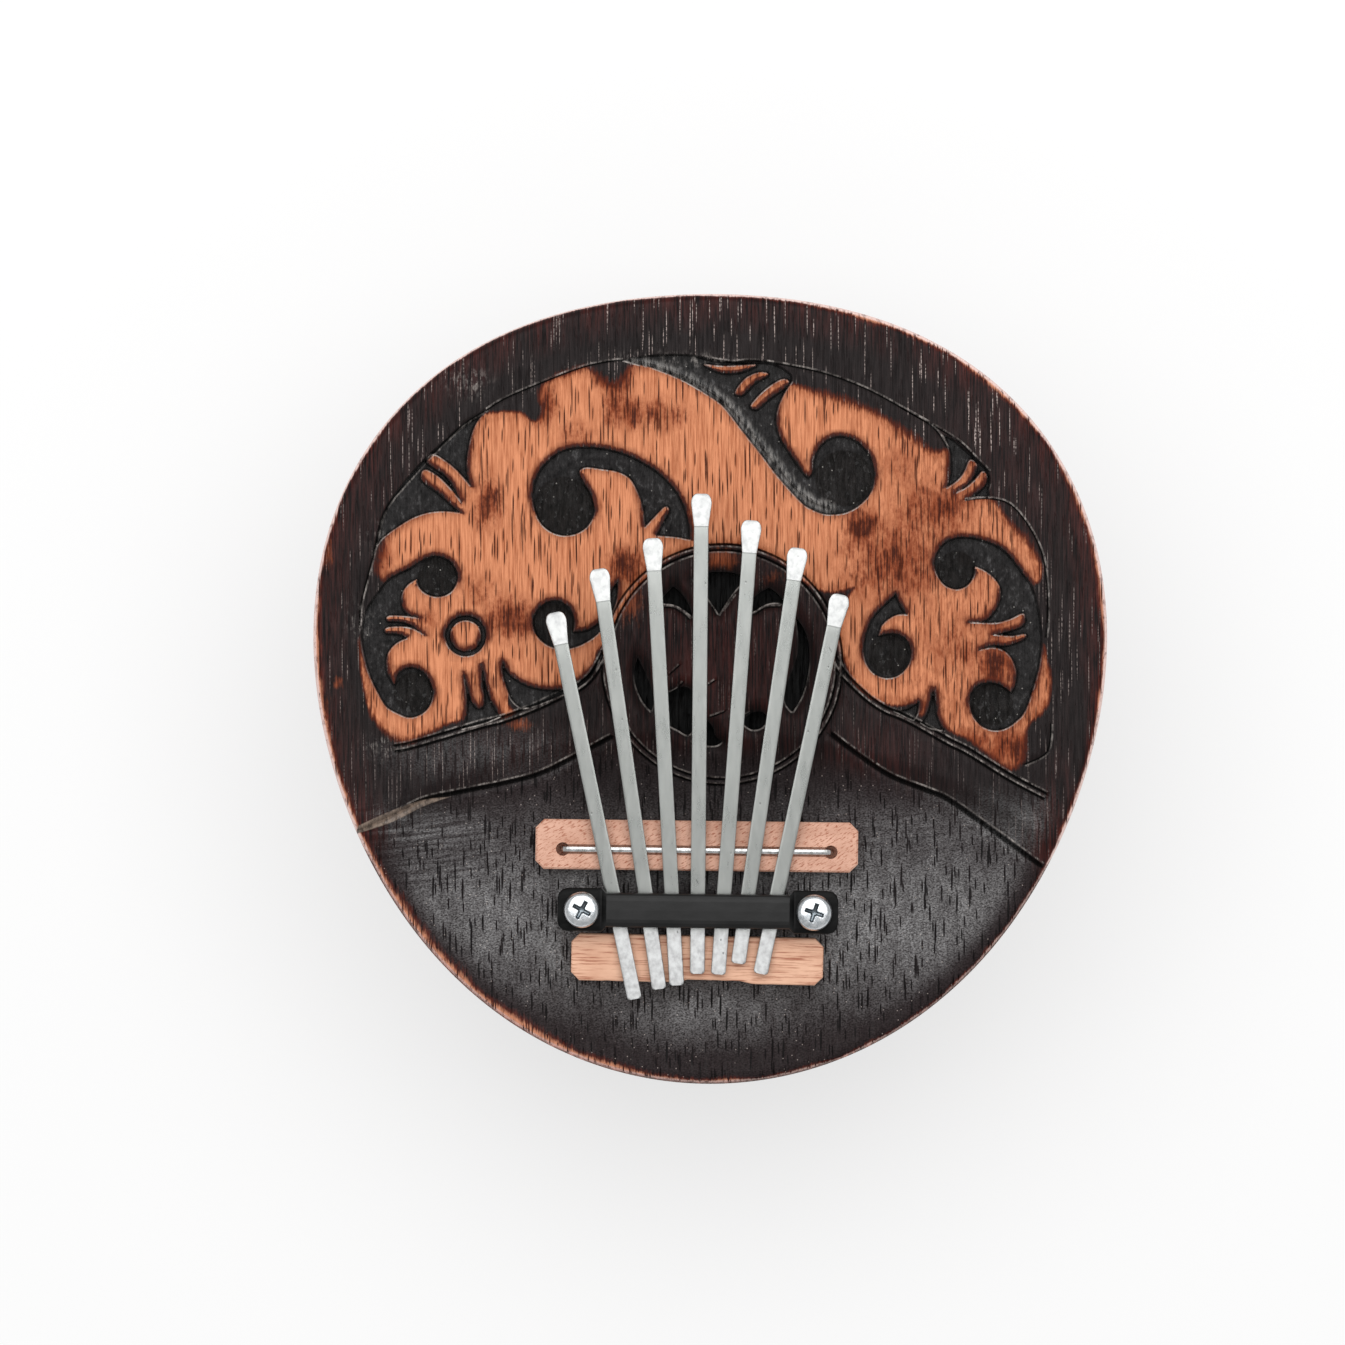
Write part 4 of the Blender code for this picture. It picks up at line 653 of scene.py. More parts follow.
def relief_points():
    """Places for the board's points: dense along every carved edge, wider apart between them."""
    fixed = [edge_loop(0, count=540)[:-1]]
    fixed += [resampled(loop, ROWS["gap"][0] * MM)[:-1] for loop in GAP_LOOPS]
    rows = []
    for loop in GAP_LOOPS:
        rows += rows_beside(loop, "gap")
    for loop in [*POCKET_LOOPS.values(), *FOLD_LOOPS]:
        rows += rows_beside(loop, "pocket")
    rows += [resampled(offset(RING_LOOP, side * MM), LINE_SPACING) for side in RING_ROWS]
    for course, half_width in LINE_COURSES:
        even = resampled(course, LINE_SPACING)
        rows += [offset(even, half_width * share) for share in LINE_ROWS]
        rows += [offset(even, half_width + LIT_EDGE * share) for share in LIT_ROWS]
    for kind, line in (("gouge", GOUGE_LOOP), ("ridge", RIDGE_LINE), ("leaf", LEAF_LOOP)):
        rows += rows_beside(line, kind)
    rows += [edge_loop(inset * MM, count=500)[:-1] for inset in EDGE_ROWS]
    rows += [on_board(circle((u, v), size * share, count=40)) for u, v, size in PITS for share in PIT_ROWS]
    side = np.arange(-BOARD_RADIUS * 1.05, BOARD_RADIUS * 1.05, GRID_STEP)
    grid = np.stack(np.meshgrid(side, side), -1)
    grid[::2, :, 0] += GRID_STEP / 2
    rows.append(grid.reshape(-1, 2) + MIDDLE)
    loose = np.concatenate(rows)
    loose = loose[from_edge(loose) > EDGE_CLEAR]
    held = np.concatenate(fixed)
    apart = np.full(len(held) + len(loose), GRID_APART)
    apart[:len(apart) - grid.size // 2] = ROW_APART
    apart[:len(held)] = 0.0
    return spread(np.concatenate((held, loose)), apart), [len(loop) for loop in fixed]


def spread(points, apart):
    """Leave out each point that lies nearer to an earlier one than it may."""
    cell = 0.25 * MM
    taken = {}
    kept = []
    for point, gap in zip(points.tolist(), apart.tolist()):
        column, row = int(point[0] // cell), int(point[1] // cell)
        reach = math.ceil(gap / cell)
        crowded = False
        for i in range(column - reach, column + reach + 1):
            for j in range(row - reach, row + reach + 1):
                for x, y in taken.get((i, j), ()):
                    if math.hypot(x - point[0], y - point[1]) < gap:
                        crowded = True
        if not crowded:
            taken.setdefault((column, row), []).append(point)
            kept.append(point)
    return np.array(kept)


def relief(points):
    """Height of the board's face at each point, with the masks its material reads."""
    pocket = pocket_depth(points)
    carved = ease(pocket, -CARVE_LIP, CARVE_WALL)
    uneven = rough_noise(points, size=1.6 * MM, seed=3.0)
    height = BOARD_TOP - dish_drop(points)
    height -= carved * (CARVE_DEPTH + CARVE_UNEVEN * uneven)
    for u, v, size in PITS:
        share = np.hypot(*(points - on_board((u, v))).T) / (size * UNIT)
        height -= PIT_DEPTH * np.sqrt(np.clip(1 - share ** 2, 0, 1)) * carved
    groove = np.full(len(points), GROOVE_REACH)
    for course, half_width in LINE_COURSES:
        share = nearest(points, [course], GROOVE_REACH * half_width) / half_width
        height -= LINE_SLOPE * half_width * (1 - ease(share, 0.0, 1.0)) * (1 - carved)
        groove = np.minimum(groove, share)
    ridge = nearest(points, [RIDGE_LINE], RIDGE_REACH)
    height += RIDGE_HEIGHT * (1 - ease(ridge, 0.0, RIDGE_HALF_WIDTH)) * carved
    petal = nearest(points, GAP_LOOPS, PETAL_REACH)
    height -= PETAL_DROP * (1 - ease(petal, 0.0, PETAL_SLOPE))
    edge = from_edge(points)
    inwards = np.clip(EDGE_ROUND - edge, 0, EDGE_ROUND)
    height -= EDGE_ROUND - np.sqrt(EDGE_ROUND ** 2 - inwards ** 2)
    return height, masks(points, pocket, groove, edge) | {"ridge": ridge / MM}


def nearest(points, lines, reach):
    """Distance from the nearest of several lines, up to a reach."""
    best = np.full(len(points), reach)
    for line in lines:
        close = near(points, line, reach)
        best[close] = np.minimum(best[close], line_distance(points[close], line))
    return best


def spots(drawn, places):
    """Soft spots, each with its own width, height and strength, as one mask."""
    mask = np.zeros(len(drawn))
    for u, v, width, height, strength in places:
        share = np.hypot((drawn[:, 0] - u) / width, (drawn[:, 1] - v) / height)
        mask = np.maximum(mask, strength * np.exp(-share ** 2))
    return mask


def masks(points, pocket, groove, edge):
    """Distances in millimetres and shares from 0 to 1 that the board's material reads."""
    drawn = (points - MIDDLE) / UNIT
    cloudy = rough_noise(points, size=6.0 * MM, seed=11.0)
    shift = 0.05 * MM
    above = points + np.array((0.0, shift))
    higher = pocket_depth(above)
    gap = gap_depth(points)
    turn = np.degrees(np.arctan2(points[:, 1] - MIDDLE[1], points[:, 0]))
    # The width of the bare edge, with a painted highlight on its outer rim
    worn_lit = np.full(len(points), WORN_LIT_EDGE)
    for at, half_width, more in WORN_LIT_PLACES:
        away = (turn - at + 180) % 360 - 180
        worn_lit += more * np.exp(-(away / half_width) ** 2)
    gouge = depth_inside(points, GOUGE_LOOP, MM)
    leaf = depth_inside(points, LEAF_LOOP, LEAF_REACH)
    for fold in FOLD_LOOPS:
        leaf = np.maximum(leaf, depth_inside(points, fold, LEAF_REACH) + FOLD_SWELL)
    return {
        "leaf": leaf / MM,
        "pocket": pocket / MM,
        # Lower rims of the pockets face the lamp: the material paints a highlight on them
        "lower_rim": np.clip((higher - pocket) / shift, 0, 1),
        "gap": gap / MM,
        # The petal edges below each gap face the lamp: the material paints a highlight on them
        "gap_below": np.clip((gap_depth(above) - gap) / shift, 0, 1),
        "groove": groove,
        "lit_edge": nearest(points, LIT_COURSES, MM) / MM,
        "edge": np.minimum(edge, EDGE_REACH) / MM,
        "worn_width": worn_lit * (1 + WORN_LIT_UNEVEN * cloudy),
        "pit": np.max([size - np.hypot(*(drawn - (u, v)).T) for u, v, size in PITS], 0) * UNIT / MM,
        "dusty": spots(drawn, DUSTY_PORES),
        "soft": spots(drawn, SOFT_EDGES),
        "scorch": spots(drawn, SCORCHES),
        "scuff": spots(drawn, SCUFFS_AND_GLINTS),
        "gouge": gouge / MM,
        "brown": ease(drawn[:, 0] + BROWN_UNEVEN * cloudy, *BROWN_PART),
        "deck": ease(dish_drop(points), 0.3 * DISH_DROP, DISH_DROP),
        # A spot of the deck has its gloss taken away, standing in for the shade between the bar and the front
        # bridge
        "polish": spots(drawn, POLISHED) * (1 - spots(drawn, DULLED_IN_SHADE)) * ease(edge, *POLISH_EDGE),
        "rippled": spots(drawn, RIPPLED),
        "red": spots(drawn, RED_STAIN),
        "bronze": spots(drawn, BRONZE),
    }


def carved_board():
    """The board as one closed mesh: a triangulated relief, pierced gaps, a rounded edge, a flat underside."""
    points, held = relief_points()
    edges = []
    first = 0
    for count in held:
        edges += [(first + i, first + (i + 1) % count) for i in range(count)]
        first += count
    places, _, triangles, _, _, _ = delaunay_2d_cdt([Vector(p) for p in points], edges, [], 0, 1e-7)
    points = np.array([tuple(p) for p in places])
    height, mask = relief(points)
    corners = np.array(triangles)
    centres = points[corners].mean(1)
    open_gap = np.zeros(len(corners), bool)
    for loop in GAP_LOOPS:
        close = near(centres, loop, 0.0)
        open_gap[close] |= inside(centres[close], loop)
    mesh = bpy.data.meshes.new("carved_board")
    mesh.from_pydata(np.column_stack((points, height)), [], corners[~open_gap].tolist())
    for name, values in mask.items():
        keep_value(mesh, name, values)
    close_board(mesh)
    add_piece("carved_board", mesh, board_wood(), "resonator", ["soundboard"])


def drawn_out(work, rim):
    """New edges drawn out of open ones, with their points."""
    made = bmesh.ops.extrude_edge_only(work, edges=rim)["geom"]
    rim = [item for item in made if isinstance(item, bmesh.types.BMEdge)]
    return rim, {vert for edge in rim for vert in edge.verts}


def close_board(mesh):
    """Draw the relief's open edges down to the underside and close it there."""
    work = bmesh.new()
    work.from_mesh(mesh)
    bmesh.ops.delete(work, geom=[vert for vert in work.verts if not vert.link_faces], context="VERTS")
    outer = []
    gaps = []
    for edge in [edge for edge in work.edges if edge.is_boundary]:
        place = np.array([edge.verts[0].co[:2]])
        (outer if from_edge(place)[0] < EDGE_ROUND else gaps).append(edge)
    gaps, walls = drawn_out(work, gaps)
    in_gap = work.verts.layers.float["gap"]
    # The walls get a gap value deeper than any edge, so that the painted shade of the gaps covers them
    for vert in walls:
        vert.co.z = BOARD_BOTTOM
        vert[in_gap] = BOARD_THICKNESS / MM
    worn_lit = work.verts.layers.float["edge"]
    dusty = work.verts.layers.float["dusty"]
    for inset, level, from_worn_lit in SIDE_LEVELS:
        outer, side = drawn_out(work, outer)
        for vert in side:
            reach = Vector((vert.co.x, vert.co.y - BOARD_LOBE))
            edge_at = float(edge_radius(math.atan2(reach.y, reach.x)))
            reach *= (edge_at - inset) / reach.length
            vert.co = (reach.x, reach.y + BOARD_LOBE, BOARD_BOTTOM + level)
            vert[worn_lit] = from_worn_lit
            vert[dusty] = NO_DUST
    bmesh.ops.triangle_fill(work, edges=outer + gaps, use_beauty=True)
    bmesh.ops.recalc_face_normals(work, faces=work.faces[:])
    work.to_mesh(mesh)
    work.free()
    smooth_faces(mesh, angle=55)


def smooth_faces(mesh, angle):
    """Shade a mesh smooth, but leave its sharp edges sharp."""
    mesh.shade_smooth()
    mesh.set_sharp_from_angle(angle=math.radians(angle))


def linked(name, data):
    """A new object in the scene."""
    thing = bpy.data.objects.new(name, data)
    bpy.context.scene.collection.objects.link(thing)
    return thing


def add_piece(name, mesh, material, body, nodes):
    """Put a mesh into the scene as a piece that rides on a body and stands for CAD nodes."""
    mesh.materials.append(material)
    piece = linked(name, mesh)
    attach(piece, body)
    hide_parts(*nodes)


def lofted(name, rings, matrix):
    """A closed mesh through rings of equally many points, capped at both ends."""
    rings = np.asarray(rings, float)
    count = rings.shape[1]
    faces = [list(reversed(range(count)))]
    for first in range(0, (len(rings) - 1) * count, count):
        for i in range(count):
            j = (i + 1) % count
            faces.append([first + i, first + j, first + count + j, first + count + i])
    faces.append([(len(rings) - 1) * count + i for i in range(count)])
    mesh = bpy.data.meshes.new(name)
    mesh.from_pydata([matrix @ Vector(point) for point in rings.reshape(-1, 3)], [], faces)
    work = bmesh.new()
    work.from_mesh(mesh)
    bmesh.ops.recalc_face_normals(work, faces=work.faces[:])
    work.to_mesh(mesh)
    work.free()
    return mesh


def keep_value(mesh, name, values):
    """Keep a number in each of the mesh's points for its material."""
    mesh.attributes.new(name, "FLOAT", "POINT").data.foreach_set("value", np.asarray(values, np.float32))


def tine_underside(back):
    """Height of a tine's underside at a place along the deck, bent down under the pressure bar."""
    from_bar = back + BAR_BACK
    up, down = math.tan(TONGUE_RISE), math.tan(TAIL_RISE)
    bent = math.hypot(from_bar, BEND_LENGTH) - BEND_LENGTH
    return (up - down) / 2 * from_bar + (up + down) / 2 * bent


TINE_DROP = TINE_OVER_WIRE - tine_underside(0.0)


def tine_half_width(from_tip, from_tail):
    """Half the width of a tine: a flared, rounded paddle at its tip and round corners at its tail."""
    half = TINE_WIDTH / 2
    if from_tail < TAIL_CORNER:
        half -= TAIL_CORNER - math.sqrt(TAIL_CORNER ** 2 - (TAIL_CORNER - from_tail) ** 2)
    if from_tip < TIP_LENGTH:
        shoulder = TIP_LENGTH * TIP_SHOULDER
        flare = min(1.0, (TIP_LENGTH - from_tip) / (TIP_LENGTH - shoulder))
        half += (TIP_WIDTH - TINE_WIDTH) / 2 * flare
        rounding = max(0.0, 1 - from_tip / shoulder)
        half *= TIP_BLUNT + (1 - TIP_BLUNT) * math.sqrt(max(0.0, 1 - rounding ** 2))
    return half


def tine_section(half, thick):
    """Points around a tine's cross section, with rounded corners."""
    corner = min(TINE_EDGE, thick / 3, half / 2)
    ring = []
    for x, z, start in ((1, 1, 0), (-1, 1, 90), (-1, -1, 180), (1, -1, 270)):
        middle = (x * (half - corner), thick / 2 + z * (thick / 2 - corner))
        arc = []
        for turn in (0, 45, 90):
            angle = math.radians(start + turn)
            arc.append((middle[0] + corner * math.cos(angle), middle[1] + corner * math.sin(angle)))
        beside = (0.7 * arc[-1][0], arc[-1][1]) if x == z else (0.7 * arc[0][0], arc[0][1])
        ring += arc + [beside] if x == z else [beside] + arc
    return ring


def steel_tine(number, steel):
    """One tine, bent over the wire and under the bar, with a ground paddle tip."""
    place, free_share, tail_share, splay_degrees = TINES[number]
    free, tail, splay = free_share * LONGEST_TONGUE, tail_share * LONGEST_TAIL, math.radians(splay_degrees)
    bar_place = -BAR_BACK / math.cos(splay)
    along = [TAIL_CORNER * share - tail for share in TAIL_STATIONS]
    along += [bar_place + BEND_LENGTH * share for share in BEND_STATIONS]
    along += np.arange(FROM_TAIL - tail, bar_place - FROM_BEND, STATION_STEP).tolist()
    along += np.arange(bar_place + FROM_BEND, free - TIP_LENGTH - FROM_TIP, STATION_STEP).tolist()
    along += [free - TIP_LENGTH * share for share in TIP_STATIONS]
    rings = []
    from_tip = []
    behind = []
    for station in sorted(along):
        ground = max(0.0, 1 - (free - station) / TIP_LENGTH)
        thick = TINE_THICKNESS - (TINE_THICKNESS - TIP_EDGE) * ground
        ring = []
        for across, level in tine_section(tine_half_width(free - station, station + tail), thick):
            x = across * math.cos(splay) - station * math.sin(splay)
            y = across * math.sin(splay) + station * math.cos(splay)
            ring.append((x, y, tine_underside(y) + TINE_DROP + level))
            from_tip.append((free - station) / MM)
            behind.append((bar_place - station) / MM)
        rings.append(ring)
    mesh = lofted(f"steel_tine_{number}", rings, DECK_FRAME @ Matrix.Translation((place * TINE_PITCH, 0, 0)))
    keep_value(mesh, "from_tip", from_tip)
    keep_value(mesh, "behind", behind)
    smooth_faces(mesh, angle=35)
    add_piece(mesh.name, mesh, steel, f"key_{number}", [f"tine_{number}"])


def screw_recess(x, y):
    """How deep the cross recess of a screw is at a place on its head."""
    length, half = SLOT_LENGTH / 2, SLOT_WIDTH / 2
    wing = min(max(abs(x) - length, abs(y) - half), max(abs(y) - length, abs(x) - half))
    wing = min(wing, (abs(x) + abs(y) - 2.6 * half) / math.sqrt(2))
    share = min(1.0, max(0.0, -wing / SLOT_WALL))
    return SLOT_DEPTH * share * (1 - 0.5 * math.hypot(x, y) / length)


def cross_screw(side, name, node, turn, zinc):
    """A pan-head screw with a cross recess and a threaded shank."""
    low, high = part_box(node)
    head_bottom = high.z - DECK_TOP - HEAD_HEIGHT
    shank_low = low.z - DECK_TOP
    rings = []
    recessed = []
    profile = [(POINT_RADIUS, shank_low)]
    threaded = head_bottom - shank_low - POINT_LENGTH
    turns = 2 * round(threaded / THREAD_PITCH)
    for step in range(turns + 1):
        radius = SHANK_RADIUS - (THREAD_DEPTH if step % 2 else 0.0)
        profile.append((radius, shank_low + POINT_LENGTH + threaded * step / turns))
    profile += [(HEAD_RADIUS * 0.97, head_bottom), (HEAD_RADIUS, head_bottom + HEAD_RIM)]
    for radius, level in profile:
        rings.append([(radius * math.cos(a), radius * math.sin(a), level) for a in SCREW_ANGLES])
    for share in np.linspace(1.0, 0.01, HEAD_RINGS):
        ring = []
        for angle in SCREW_ANGLES:
            x, y = (HEAD_RADIUS * share * f(angle) for f in (math.cos, math.sin))
            dome = HEAD_HEIGHT * (1 - 0.12 * share ** 2 - 0.43 * share ** 9)
            ring.append((x, y, head_bottom + dome - screw_recess(x, y)))
        rings.append(ring)
    matrix = DECK_FRAME @ Matrix.Translation((SIDE_SHIFT + side * SCREW_PLACE, -BAR_BACK, 0))
    mesh = lofted(name, rings, matrix @ Matrix.Rotation(math.radians(turn), 4, "Z"))
    for ring in rings:
        recessed += [screw_recess(x, y) / SLOT_DEPTH if z > head_bottom else 0.0 for x, y, z in ring]
    keep_value(mesh, "recess", recessed)
    smooth_faces(mesh, angle=40)
    add_piece(name, mesh, zinc, "resonator", [node])


def rear_block(wood):
    """The block under the tails, its back edge nibbled by the knife."""
    low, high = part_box("rear_bridge")
    half, deep, corner = REAR_LENGTH / 2, REAR_WIDTH / 2, BLOCK_CORNER
    back = np.linspace(corner - half, half - corner, 64)
    bite = REAR_BITE * ease(back, *BITE_START) * (1 - ease(back, *BITE_END))
    wave = REAR_WAVE * rough_noise(np.stack((back, 0 * back), 1), size=2 * MM, seed=5.0)
    loop = [(x, -deep + up) for x, up in zip(back, np.clip(bite + wave, 0, 1))]
    loop += [(half, corner - deep), (half, deep - corner), (half - corner, deep)]
    loop += [(corner - half, deep), (-half, deep - corner), (-half, corner - deep)]
    loop = np.array(loop + loop[:1])
    bottom, top = low.z - DECK_TOP, high.z - DECK_TOP
    rings = []
    for level in (bottom, top - REAR_ROUND):
        rings.append([(x, y, level) for x, y in loop[:-1]])
    for angle in (30, 60, 90):
        inset = REAR_ROUND * (1 - math.cos(math.radians(angle)))
        level = top - REAR_ROUND * (1 - math.sin(math.radians(angle)))
        rings.append([(x, y, level) for x, y in offset(loop, inset)[:-1]])
    matrix = DECK_FRAME @ Matrix.Translation((SIDE_SHIFT, -REAR_BACK, 0)) @ Matrix.Rotation(REAR_SKEW, 4, "Z")
    mesh = lofted("rear_block", rings, matrix)
    smooth_faces(mesh, angle=35)
    add_piece("rear_block", mesh, wood, "resonator", ["rear_bridge"])


def coconut_bowl(husk):
    """The shell half: scraped by hand outside, with the three low ridges of a coconut, hollow inside."""
    turns = np.linspace(0, 2 * math.pi, BOWL_SIDES + 1)[:-1]
    foot = math.acos(SHELL_FOOT / (BOARD_RADIUS - OVERHANG))
    outer_depth = BOWL_DEPTH / math.sin(foot)
    rings = []
    hollow = []
    for angle in [foot * (1 - step / OUTER_RINGS) for step in range(OUTER_RINGS + 1)]:
        level = BOWL_DEPTH - outer_depth * math.sin(angle)
        flat = ease(level, 0.0, FOOT_BLEND) * (1 - ease(level, BOWL_DEPTH - RIM_BLEND, BOWL_DEPTH))
        ring = []
        for turn in turns:
            ridge = SHELL_RIDGE * (abs(math.cos(1.5 * turn)) ** 8 - 1)
            around = Vector((9 * math.cos(turn), 9 * math.sin(turn), level * 90))
            scraped = SHELL_SCRAPES * (noise.noise(around) - 1)
            radius = (float(edge_radius(turn)) - OVERHANG) * math.cos(angle) + flat * (ridge + scraped)
            ring.append((radius * math.cos(turn), radius * math.sin(turn), level))
        rings.append(ring)
        hollow += [0.0] * len(ring)
    for angle in np.linspace(0, 0.995 * math.pi / 2, INNER_RINGS):
        level = BOWL_DEPTH - (BOWL_DEPTH - BOWL_WALL) * math.sin(angle)
        radii = [(float(edge_radius(turn)) - OVERHANG - BOWL_WALL) * math.cos(angle) for turn in turns]
        rings.append([(r * math.cos(t), r * math.sin(t), level) for r, t in zip(radii, turns)])
        hollow += [1.0] * len(turns)
    mesh = lofted("coconut_bowl", rings, Matrix.Translation((0, BOARD_LOBE, 0)))
    keep_value(mesh, "hollow", hollow)
    smooth_faces(mesh, angle=50)
    add_piece("coconut_bowl", mesh, husk, "resonator", ["coconut_shell"])


def seen(red, green, blue):
    """A colour as it is seen, in 0 to 255, turned into the linear values a shader takes."""
    values = [channel / 255 for channel in (red, green, blue)]
    return tuple(v / 12.92 if v < 0.04045 else ((v + 0.055) / 1.055) ** 2.4 for v in values) + (1.0,)


class Paint:
    """Short calls that build the nodes of one material."""

    def __init__(self, name):
        self.material = bpy.data.materials.new(name)
        self.material.use_nodes = True
        self.tree = self.material.node_tree
        self.shader = self.tree.nodes["Principled BSDF"]

    def put(self, socket, value):
        """Link a socket to a node's output, or set it to a value."""
        if isinstance(value, bpy.types.NodeSocket):
            self.tree.links.new(value, socket)
        else:
            socket.default_value = value

    def node(self, kind, inputs=None, **settings):
        """The outputs of a new node, after its settings and its inputs, which are linked or set."""
        node = self.tree.nodes.new(f"ShaderNode{kind}")
        for name, value in settings.items():
            setattr(node, name, value)
        for name, value in (inputs or {}).items():
            self.put(node.inputs[name], value)
        return node.outputs

    def finish(self, **inputs):
        """Set the shader's inputs; spaces in their names are written as underscores."""
        for name, value in inputs.items():
            self.put(self.shader.inputs[name.replace("_", " ")], value)
        return self.material

    def mask(self, name):
        """A value kept in the mesh's points."""
        return self.node("Attribute", attribute_name=name)["Fac"]

    def place(self, size, turn):
        """The piece's own coordinates, measured in cells of a size in millimetres for each axis."""
        scale = tuple(axis * MM for axis in size)
        inputs = {"Vector": self.node("TexCoord")["Object"], "Scale": scale, "Rotation": (0.0, 0.0, turn)}
        return self.node("Mapping", inputs, vector_type="TEXTURE")["Vector"]

    def around(self, share, length):
        """Coordinates that run down a bowl, so that noise makes streaks from its rim to its foot."""
        place = self.node("TexCoord")["Object"]
        level = self.node("VectorMath", {0: place, 1: (1.0, 1.0, 0.0)}, operation="MULTIPLY")[0]
        outward = self.node("VectorMath", {0: level}, operation="NORMALIZE")[0]
        outward = self.node("VectorMath", {0: outward, "Scale": 1 / share}, operation="SCALE")[0]
        inputs = {0: place, 1: (0.0, 0.0, 1 / length), 2: outward}
        return self.node("VectorMath", inputs, operation="MULTIPLY_ADD")[0]

    def noise_at(self, place, detail, roughness=0.55):
        """Cloudy noise from 0 to 1."""
        inputs = {"Vector": place, "Scale": 1.0, "Detail": detail, "Roughness": roughness}
        return self.node("TexNoise", inputs)["Fac"]

    def noise(self, size, detail, roughness=0.55, turn=0.0):
        """Cloudy noise with spots of a size in millimetres."""
        return self.noise_at(self.place(size, turn), detail, roughness)

    def dots(self, size, low, high, strength=1.0, turn=0.0):
        """Scattered dots, one in each cell of a size, fading over a range; two axes make a flat pattern."""
        flat = len(size) == 2
        place = self.place((*size, 1.0) if flat else size, turn)
        inputs = {"Vector": place, "Scale": 1.0}
        away = self.node("TexVoronoi", inputs, voronoi_dimensions="2D" if flat else "3D")["Distance"]
        return self.between(away, low, high, strength, 0.0)

    def between(self, value, low, high, start=0.0, end=1.0):
        """Carry a value from one range to another, held at the ends."""
        inputs = {"Value": value, "From Min": low, "From Max": high, "To Min": start, "To Max": end}
        return self.node("MapRange", inputs)["Result"]

    def fold(self, kind, values):
        """One value out of several, by the same arithmetic again and again."""
        result = values[0]
        for value in values[1:]:
            result = self.node("Math", {0: result, 1: value}, operation=kind)[0]
        return result

    def plus(self, *values):
        """The sum of several values."""
        return self.fold("ADD", values)

    def minus(self, *values):
        """The first of several values less the others."""
        return self.fold("SUBTRACT", values)

    def times(self, *values):
        """The product of several values."""
        return self.fold("MULTIPLY", values)

    def most(self, *values):
        """The largest of several values."""
        return self.fold("MAXIMUM", values)

    def apart(self, value, middle):
        """How far a value lies from a middle one."""
        return self.fold("ABSOLUTE", (self.minus(value, middle), 0.0))

    def fade(self, amount, value, low, high, start=0.0, end=1.0):
        """An amount, less where a value lies low in a range, or high in it."""
        return self.times(amount, self.between(value, low, high, start, end))

    def blend(self, first, second, value, low, high, start=0.0, end=1.0):
        """A colour between two colours, by where a value lies in a range."""
        return self.mix(first, second, self.between(value, low, high, start, end))

    def mix(self, first, second, share):
        """A colour between two colours."""
        node = self.tree.nodes.new("ShaderNodeMix")
        node.data_type = "RGBA"
        self.put(node.inputs["Factor"], share)
        colours = [socket for socket in node.inputs if socket.type == "RGBA"]
        self.put(colours[0], first)
        self.put(colours[1], second)
        return [socket for socket in node.outputs if socket.type == "RGBA"][0]

    def bump(self, height, depth, strength=1.0):
        """Bumps of a given depth."""
        return self.node("Bump", {"Height": height, "Distance": depth, "Strength": strength})["Normal"]


def pores(paint, *layers):
    """Short dashes along the grain, as open pores show: width and length in millimetres, turn and size."""
    dashes = [paint.dots((wide, long), size, 1.7 * size, turn=turn) for wide, long, turn, size in layers]
    return paint.most(*dashes)


class BoardNoise:
    """The patterns that all the board's finishes share."""

    def __init__(self, paint):
        self.streak = paint.noise((0.3, 7, 5), 5.0, 0.65)
        self.broad = paint.noise((5, 30, 9), 3.0)
        self.mottle = paint.noise((0.8, 1.4, 5), 5.0, 0.7)
        self.cloud = paint.noise((2.5, 5, 5), 4.0, 0.6)
        self.char = paint.noise((0.5, 1.9, 5), 5.0, 0.7)
        self.grain = paint.noise((0.34, 0.24, 0.4), 3.0, 0.6, turn=0.15)
        self.pore = pores(paint, (1.1, 20, 0.0, 0.085), (1.4, 32, 0.02, 0.07), (1.0, 11, -0.02, 0.08))
        self.dense_pore = pores(paint, (0.75, 5, 0.01, 0.15))
        self.thin_pore = pores(paint, (1.4, 17, 0.01, 0.068), (1.9, 24, -0.02, 0.06), (1.1, 9, 0.03, 0.075))
        fine = pores(
            paint, (1.4, 60, 0.01, 0.035), (2.0, 90, -0.01, 0.03), (1.2, 26, 0.0, 0.042),
            (0.9, 44, 0.005, 0.05),
        )
        dotted = paint.noise((0.3, 0.4, 5), 2.0)
        self.fine_pore = paint.fade(fine, dotted, 0.42, 0.58, 0.1, 1.0)


